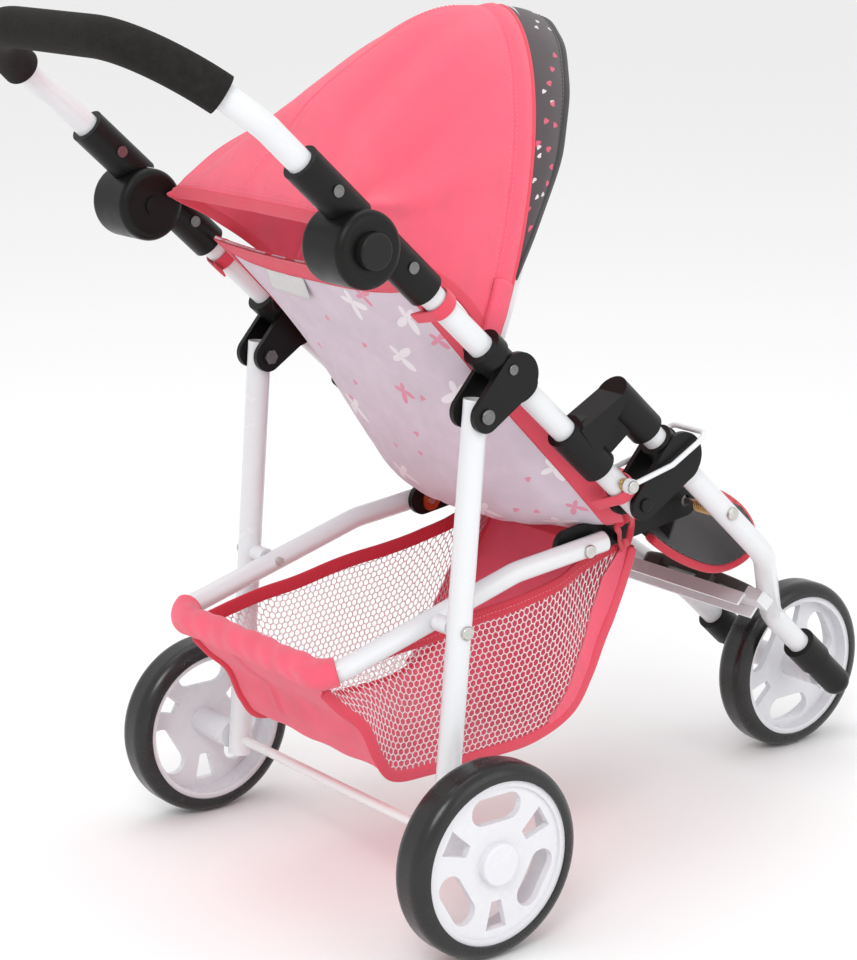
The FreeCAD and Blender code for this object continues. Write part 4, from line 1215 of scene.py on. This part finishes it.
@dataclass
class Basket(SoftPiece):
    """The basket: a solid band down the back, along the floor and up the front, and mesh sides."""

    slot: ClassVar[str] = "basket_cloth"
    half: float = 78.0
    rear: tuple[float, float] = (68.0, 178.0)
    corner: float = 18.0
    band: tuple[tuple[float, float], ...] = (
        (65.0, 169.0), (50.0, 152.0), (33.0, 136.0), (22.0, 112.0), (11.0, 98.0), (-20.0, 95.0), (-62.0, 95.5),
        (-108.0, 98.0), (-140.0, 111.0), (-155.0, 132.0), (-167.0, 157.0), (-186.0, 190.0), (-197.0, 212.0))
    top: tuple[tuple[float, float], ...] = (
        (54.0, 174.0), (30.0, 179.0), (5.0, 183.0), (-22.0, 185.5), (-60.0, 191.5), (-100.0, 195.5),
        (-130.0, 200.5), (-158.0, 209.0), (-178.0, 215.0), (-194.0, 215.5))
    thick: float = 1.2

    def width(self, run: np.ndarray) -> np.ndarray:
        """Half the band's width: a little less at its two ends."""
        return self.half - 5.0 * np.clip((run - 0.86) / 0.14, 0, 1) - 4.0 * np.exp(-((run / 0.10) ** 2))

    def strip(self) -> np.ndarray:
        """The solid band, rear to front, sagging a little between its side seams.

        Returns:
            (nu, nv, 3) millimetres.
        """
        line = spline([(0.0, *p) for p in self.band], 170)
        u = np.linspace(1, -1, 73)[:, None]
        run = np.linspace(0, 1, len(line))
        level = 0 * u
        grid = np.stack([u * self.width(run)[None], line[:, 1] + level, line[:, 2] + level], axis=2)
        n = surface_normals(grid)
        belly = 2.6 * (1 - u**4) * np.sin(np.pi * np.clip((run - 0.18) / 0.6, 0, 1))[None]
        soft = 1.3 * np.sin(run[None] * 19 + u * 2.2) * (1 - u**6) + 0.7 * np.sin(u * 11 - run[None] * 15)
        soft = soft * np.sin(np.pi * run)[None]
        dart = 1.8 * np.exp(-(((u - 0.42 + 0.3 * run[None]) * 30) ** 2)) * (run[None] < 0.2)
        return grid + n * (belly + soft - dart)[:, :, None]

    def side(self, sign: int, count: int = 60) -> np.ndarray:
        """A mesh side: rows run from the band's edge up to the top edge, bulging outwards.

        Args:
            sign: the side's sign of x.
            count: points up each row.

        Returns:
            (nu, nv, 3) millimetres.
        """
        low = spline([(0.0, *p) for p in self.band], 150)
        high = spline([(0.0, *p) for p in self.top], 150)
        run = np.linspace(0, 1, 150)
        t = np.linspace(0, 1, count)
        grid = low[:, None] + (high - low)[:, None] * t[None, :, None]
        upper = np.interp(high[:, 1], [-197, -150, -132, -80, 55], [70.0, 71.5, 76.0, 79.0, 74.0])
        x = self.width(run)[:, None] * (1 - t)[None] + upper[:, None] * t[None]
        wave = 1.5 * np.sin(run[:, None] * 13) * np.sin(np.pi * t)[None] + 2.0 * np.sin(np.pi * t)[None]
        wave = wave * np.interp(high[:, 1], [-160, -120], [0.0, 1.0])[:, None]
        grid[:, :, 0] = sign * (x + wave)
        return grid

    def build(self) -> None:
        """Makes the band, the sides, the bindings and the sleeve on the rear bar."""
        grid = self.strip()
        n = surface_normals(grid)
        band = self.dress(cloth("basket_band", grid, self.thick), "coral")
        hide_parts("basket_fabric")
        self.declare(band, grid, "hung", ["basket_tube"])
        made = [band]
        for side in Side:
            name = side.name.lower()
            rows = self.side(side.value)
            net = rows if side is Side.RIGHT else rows[::-1]
            mesh = self.dress(cloth("basket_net_" + name, net, 0.5), "mesh")
            self.declare(mesh, net, "hung", ["basket_tube"])
            out = np.array([float(side.value), 0.0, 0.0])
            made += [
                mesh,
                self.tape("basket_top_tape_" + name, rows[:, -1], out, (5.0, 1.2, 3.5), "red_tape"),
                self.tape("basket_edge_tape_" + name, rows[3:, 0] + out * 0.4, out, (4.0, 1.5, 3.0),
                          "coral_tape"),
                self.cheek(side, rows),
                self.sew("basket_top_stitches_" + name, rows[6:-6, -1] + out * 1.35, out),
                self.tie(side),
            ]
        made += [self.tape("basket_front_tape", grid[:, -2], n[:, -2], (5.0, 1.5, 3.5), "red_tape"),
                 self.sleeve()]
        for obj in made:
            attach(obj, "basket_frame")
            if obj.name != "basket_sleeve":
                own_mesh(obj)

    def cheek(self, side: Side, rows: np.ndarray) -> bpy.types.Object:
        """The solid cloth that turns the front corner on to the side."""
        part = rows[92:, :]
        gap = part[:, -1] - part[:, 0]
        far = np.linalg.norm(gap, axis=1)
        wide = np.interp(np.linspace(0, 1, len(part)), [0.0, 0.25, 0.7, 1.0], [7.0, 22.0, 24.0, 9.0])
        share = np.minimum(wide / far, 0.85)
        t = np.linspace(0, 1, 8)
        steps = share[:, None] * t[None] * (rows.shape[1] - 1)
        low = np.floor(steps).astype(int)
        high = np.minimum(low + 1, rows.shape[1] - 1)
        rest = (steps - low)[:, :, None]
        index = np.arange(len(part))[:, None]
        grid = part[index, low] * (1 - rest) + part[index, high] * rest
        grid[:, :, 0] += side.value * 0.9
        if side is Side.LEFT:
            grid = grid[::-1]
        return self.dress(cloth("basket_cheek_" + side.name.lower(), grid, 0.9), "coral")

    def bar(self, count: int) -> np.ndarray:
        """The rear bar of the basket tube with most of its two corners."""
        y, z = self.rear
        turn = np.radians(np.linspace(28.0, 90.0, 14))
        arc = np.stack([70.0 + self.corner * np.cos(turn), self.corner * (np.sin(turn) - 1)], axis=1)
        flat = np.concatenate([arc, arc[::-1] * [-1.0, 1.0]])
        slope = math.atan2(z - 219.5, y + 82.0)
        path = [flat[:, 0], y + flat[:, 1] * math.cos(slope), z + flat[:, 1] * math.sin(slope)]
        return spline(np.stack(path, axis=1), count)

    def sleeve(self) -> bpy.types.Object:
        """The channel that wraps the rear bar, with a narrow opening left under it."""
        nu, nv = 121, 49
        line = self.bar(nu)
        up, across = frames_along(line, np.array([0.0, 0.0, 1.0]))
        if across[nu // 2, 1] < 0:
            across = -across
        turn = np.linspace(math.radians(-95), math.radians(250), nv)[None]
        x = line[:, :1]
        radius = 9.3 + 0.5 * np.sin(x * 0.13 + turn * 1.5) + 0.35 * np.sin(x * 0.33 - turn * 2.0)
        radius = radius + 0.5 * np.exp(-((np.abs(x) - 66.0) / 6.0) ** 2) * np.sin(turn * 5.0)
        wrap = across[:, None] * np.cos(turn)[..., None] + up[:, None] * np.sin(turn)[..., None]
        grid = line[:, None] + wrap * radius[:, :, None]
        if surface_normals(grid)[nu // 2, nv // 2] @ (grid[nu // 2, nv // 2] - line[nu // 2]) < 0:
            grid = grid[::-1]
        sleeve = cloth("basket_sleeve", grid, self.thick)
        self.declare(sleeve, grid, "gathered", ["basket_tube"])
        return self.dress(sleeve, "coral")

    def tie(self, side: Side) -> bpy.types.Object:
        """The knotted tape by the end of the basket tube."""
        k = side.value
        path = spline([(k * 74, -188, 214), (k * 80, -180, 222), (k * 88, -172, 231), (k * 94, -165, 238),
                       (k * 96, -171, 243), (k * 91, -180, 240), (k * 86, -184, 231), (k * 90, -178, 224),
                       (k * 95, -170, 226)], 60)
        return self.tape("basket_tie_" + side.name.lower(), path, np.array([float(k), 0.2, 0.4]),
                         (2.6, 0.9, 3.0), "red_tape")


# ---- the studio -----------------------------------------------------------------------------------


@dataclass(frozen=True)
class Studio:
    """Plain pale floor, soft lamps and the camera."""

    place: tuple[float, float, float] = (-1.29887, 1.06287, 0.67792)
    azimuth: float = 232.86
    elevation: float = 18.97
    roll: float = -0.35
    lens: float = 105.74
    shift: tuple[float, float] = (0.01392, 0.24578)

    def build(self) -> None:
        """Sets the floor, the world, the lamps and the camera."""
        self.floor()
        self.world()
        self.lamps()
        self.camera()

    def floor(self) -> None:
        """A wide pale floor."""
        size = 60000.0
        points = np.array([(x * size, y * size, -0.3) for x, y in ((-1, -1), (1, -1), (1, 1), (-1, 1))])
        floor = make_object("floor", points, np.array([[0, 1, 2, 3]]), None, smooth=False)
        s = Shader("floor")
        floor.data.materials.append(s.finish({"Base Color": rgba((0.93, 0.93, 0.93)), "Roughness": 0.75}))

    def world(self) -> None:
        """Even white surroundings."""
        bpy.context.scene.view_settings.view_transform = "Standard"
        world = bpy.data.worlds.new("studio")
        bpy.context.scene.world = world
        world.use_nodes = True
        ground = world.node_tree.nodes["Background"]
        ground.inputs[0].default_value = (1.0, 1.0, 1.0, 1.0)
        ground.inputs[1].default_value = 0.9

    def lamps(self) -> None:
        """A broad key from the upper left of the view, a fill from the right and a top light."""
        for name, place, size, power in (
            ("key", (-1.6, 1.9, 2.4), 1.2, 30.0), ("fill", (-2.4, -0.9, 1.2), 1.8, 10.0),
            ("top", (0.4, 0.1, 2.6), 1.8, 10.0),
        ):
            data = bpy.data.lights.new(name, "AREA")
            data.size, data.energy = size, power
            lamp = bpy.data.objects.new(name, data)
            lamp.location = place
            aim = Vector((0.0, 0.0, 0.25)) - Vector(place)
            lamp.rotation_euler = aim.to_track_quat("-Z", "Y").to_euler()
            bpy.context.scene.collection.objects.link(lamp)

    def camera(self) -> None:
        """The camera: its axes come from the azimuth, the elevation and a small roll."""
        az, el, roll = (math.radians(a) for a in (self.azimuth, self.elevation, self.roll))
        back = Vector((math.sin(az) * math.cos(el), -math.cos(az) * math.cos(el), math.sin(el)))
        right = (-back).cross(Vector((0.0, 0.0, 1.0))).normalized()
        up = right.cross(-back).normalized()
        turned = right * math.cos(roll) + up * math.sin(roll)
        above = up * math.cos(roll) - right * math.sin(roll)
        data = bpy.data.cameras.new("camera")
        data.sensor_fit, data.sensor_width, data.lens = "HORIZONTAL", 36.0, self.lens
        data.shift_x, data.shift_y = self.shift
        data.clip_start, data.clip_end = 0.05, 300.0
        camera = bpy.data.objects.new("camera", data)
        pose = np.eye(4)
        for k, axis in enumerate((turned, above, back)):
            pose[:3, k] = axis
        pose[:3, 3] = self.place
        camera.matrix_world = Matrix([list(row) for row in pose])
        bpy.context.scene.collection.objects.link(camera)
        bpy.context.scene.camera = camera


@dataclass
class Stroller:
    """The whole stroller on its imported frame."""

    frame: dict[str, Any]
    finishes: Finishes

    def build(self) -> None:
        """Dresses the frame and makes the soft pieces."""
        HardParts(self.finishes).dress(self.frame["nodes"])
        Hood(self.finishes).build()
        Seat(self.finishes).build()
        LegRest(self.finishes).build()
        Basket(self.finishes).build()


def main() -> None:
    """Builds the scene."""
    logging.basicConfig(level=logging.INFO, format="%(levelname)s %(message)s", stream=sys.stdout)
    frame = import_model()
    stroller = Stroller(frame, Finishes())
    stroller.build()
    Studio().build()
    bpy.context.view_layer.update()


if __name__ == "__main__":
    main()
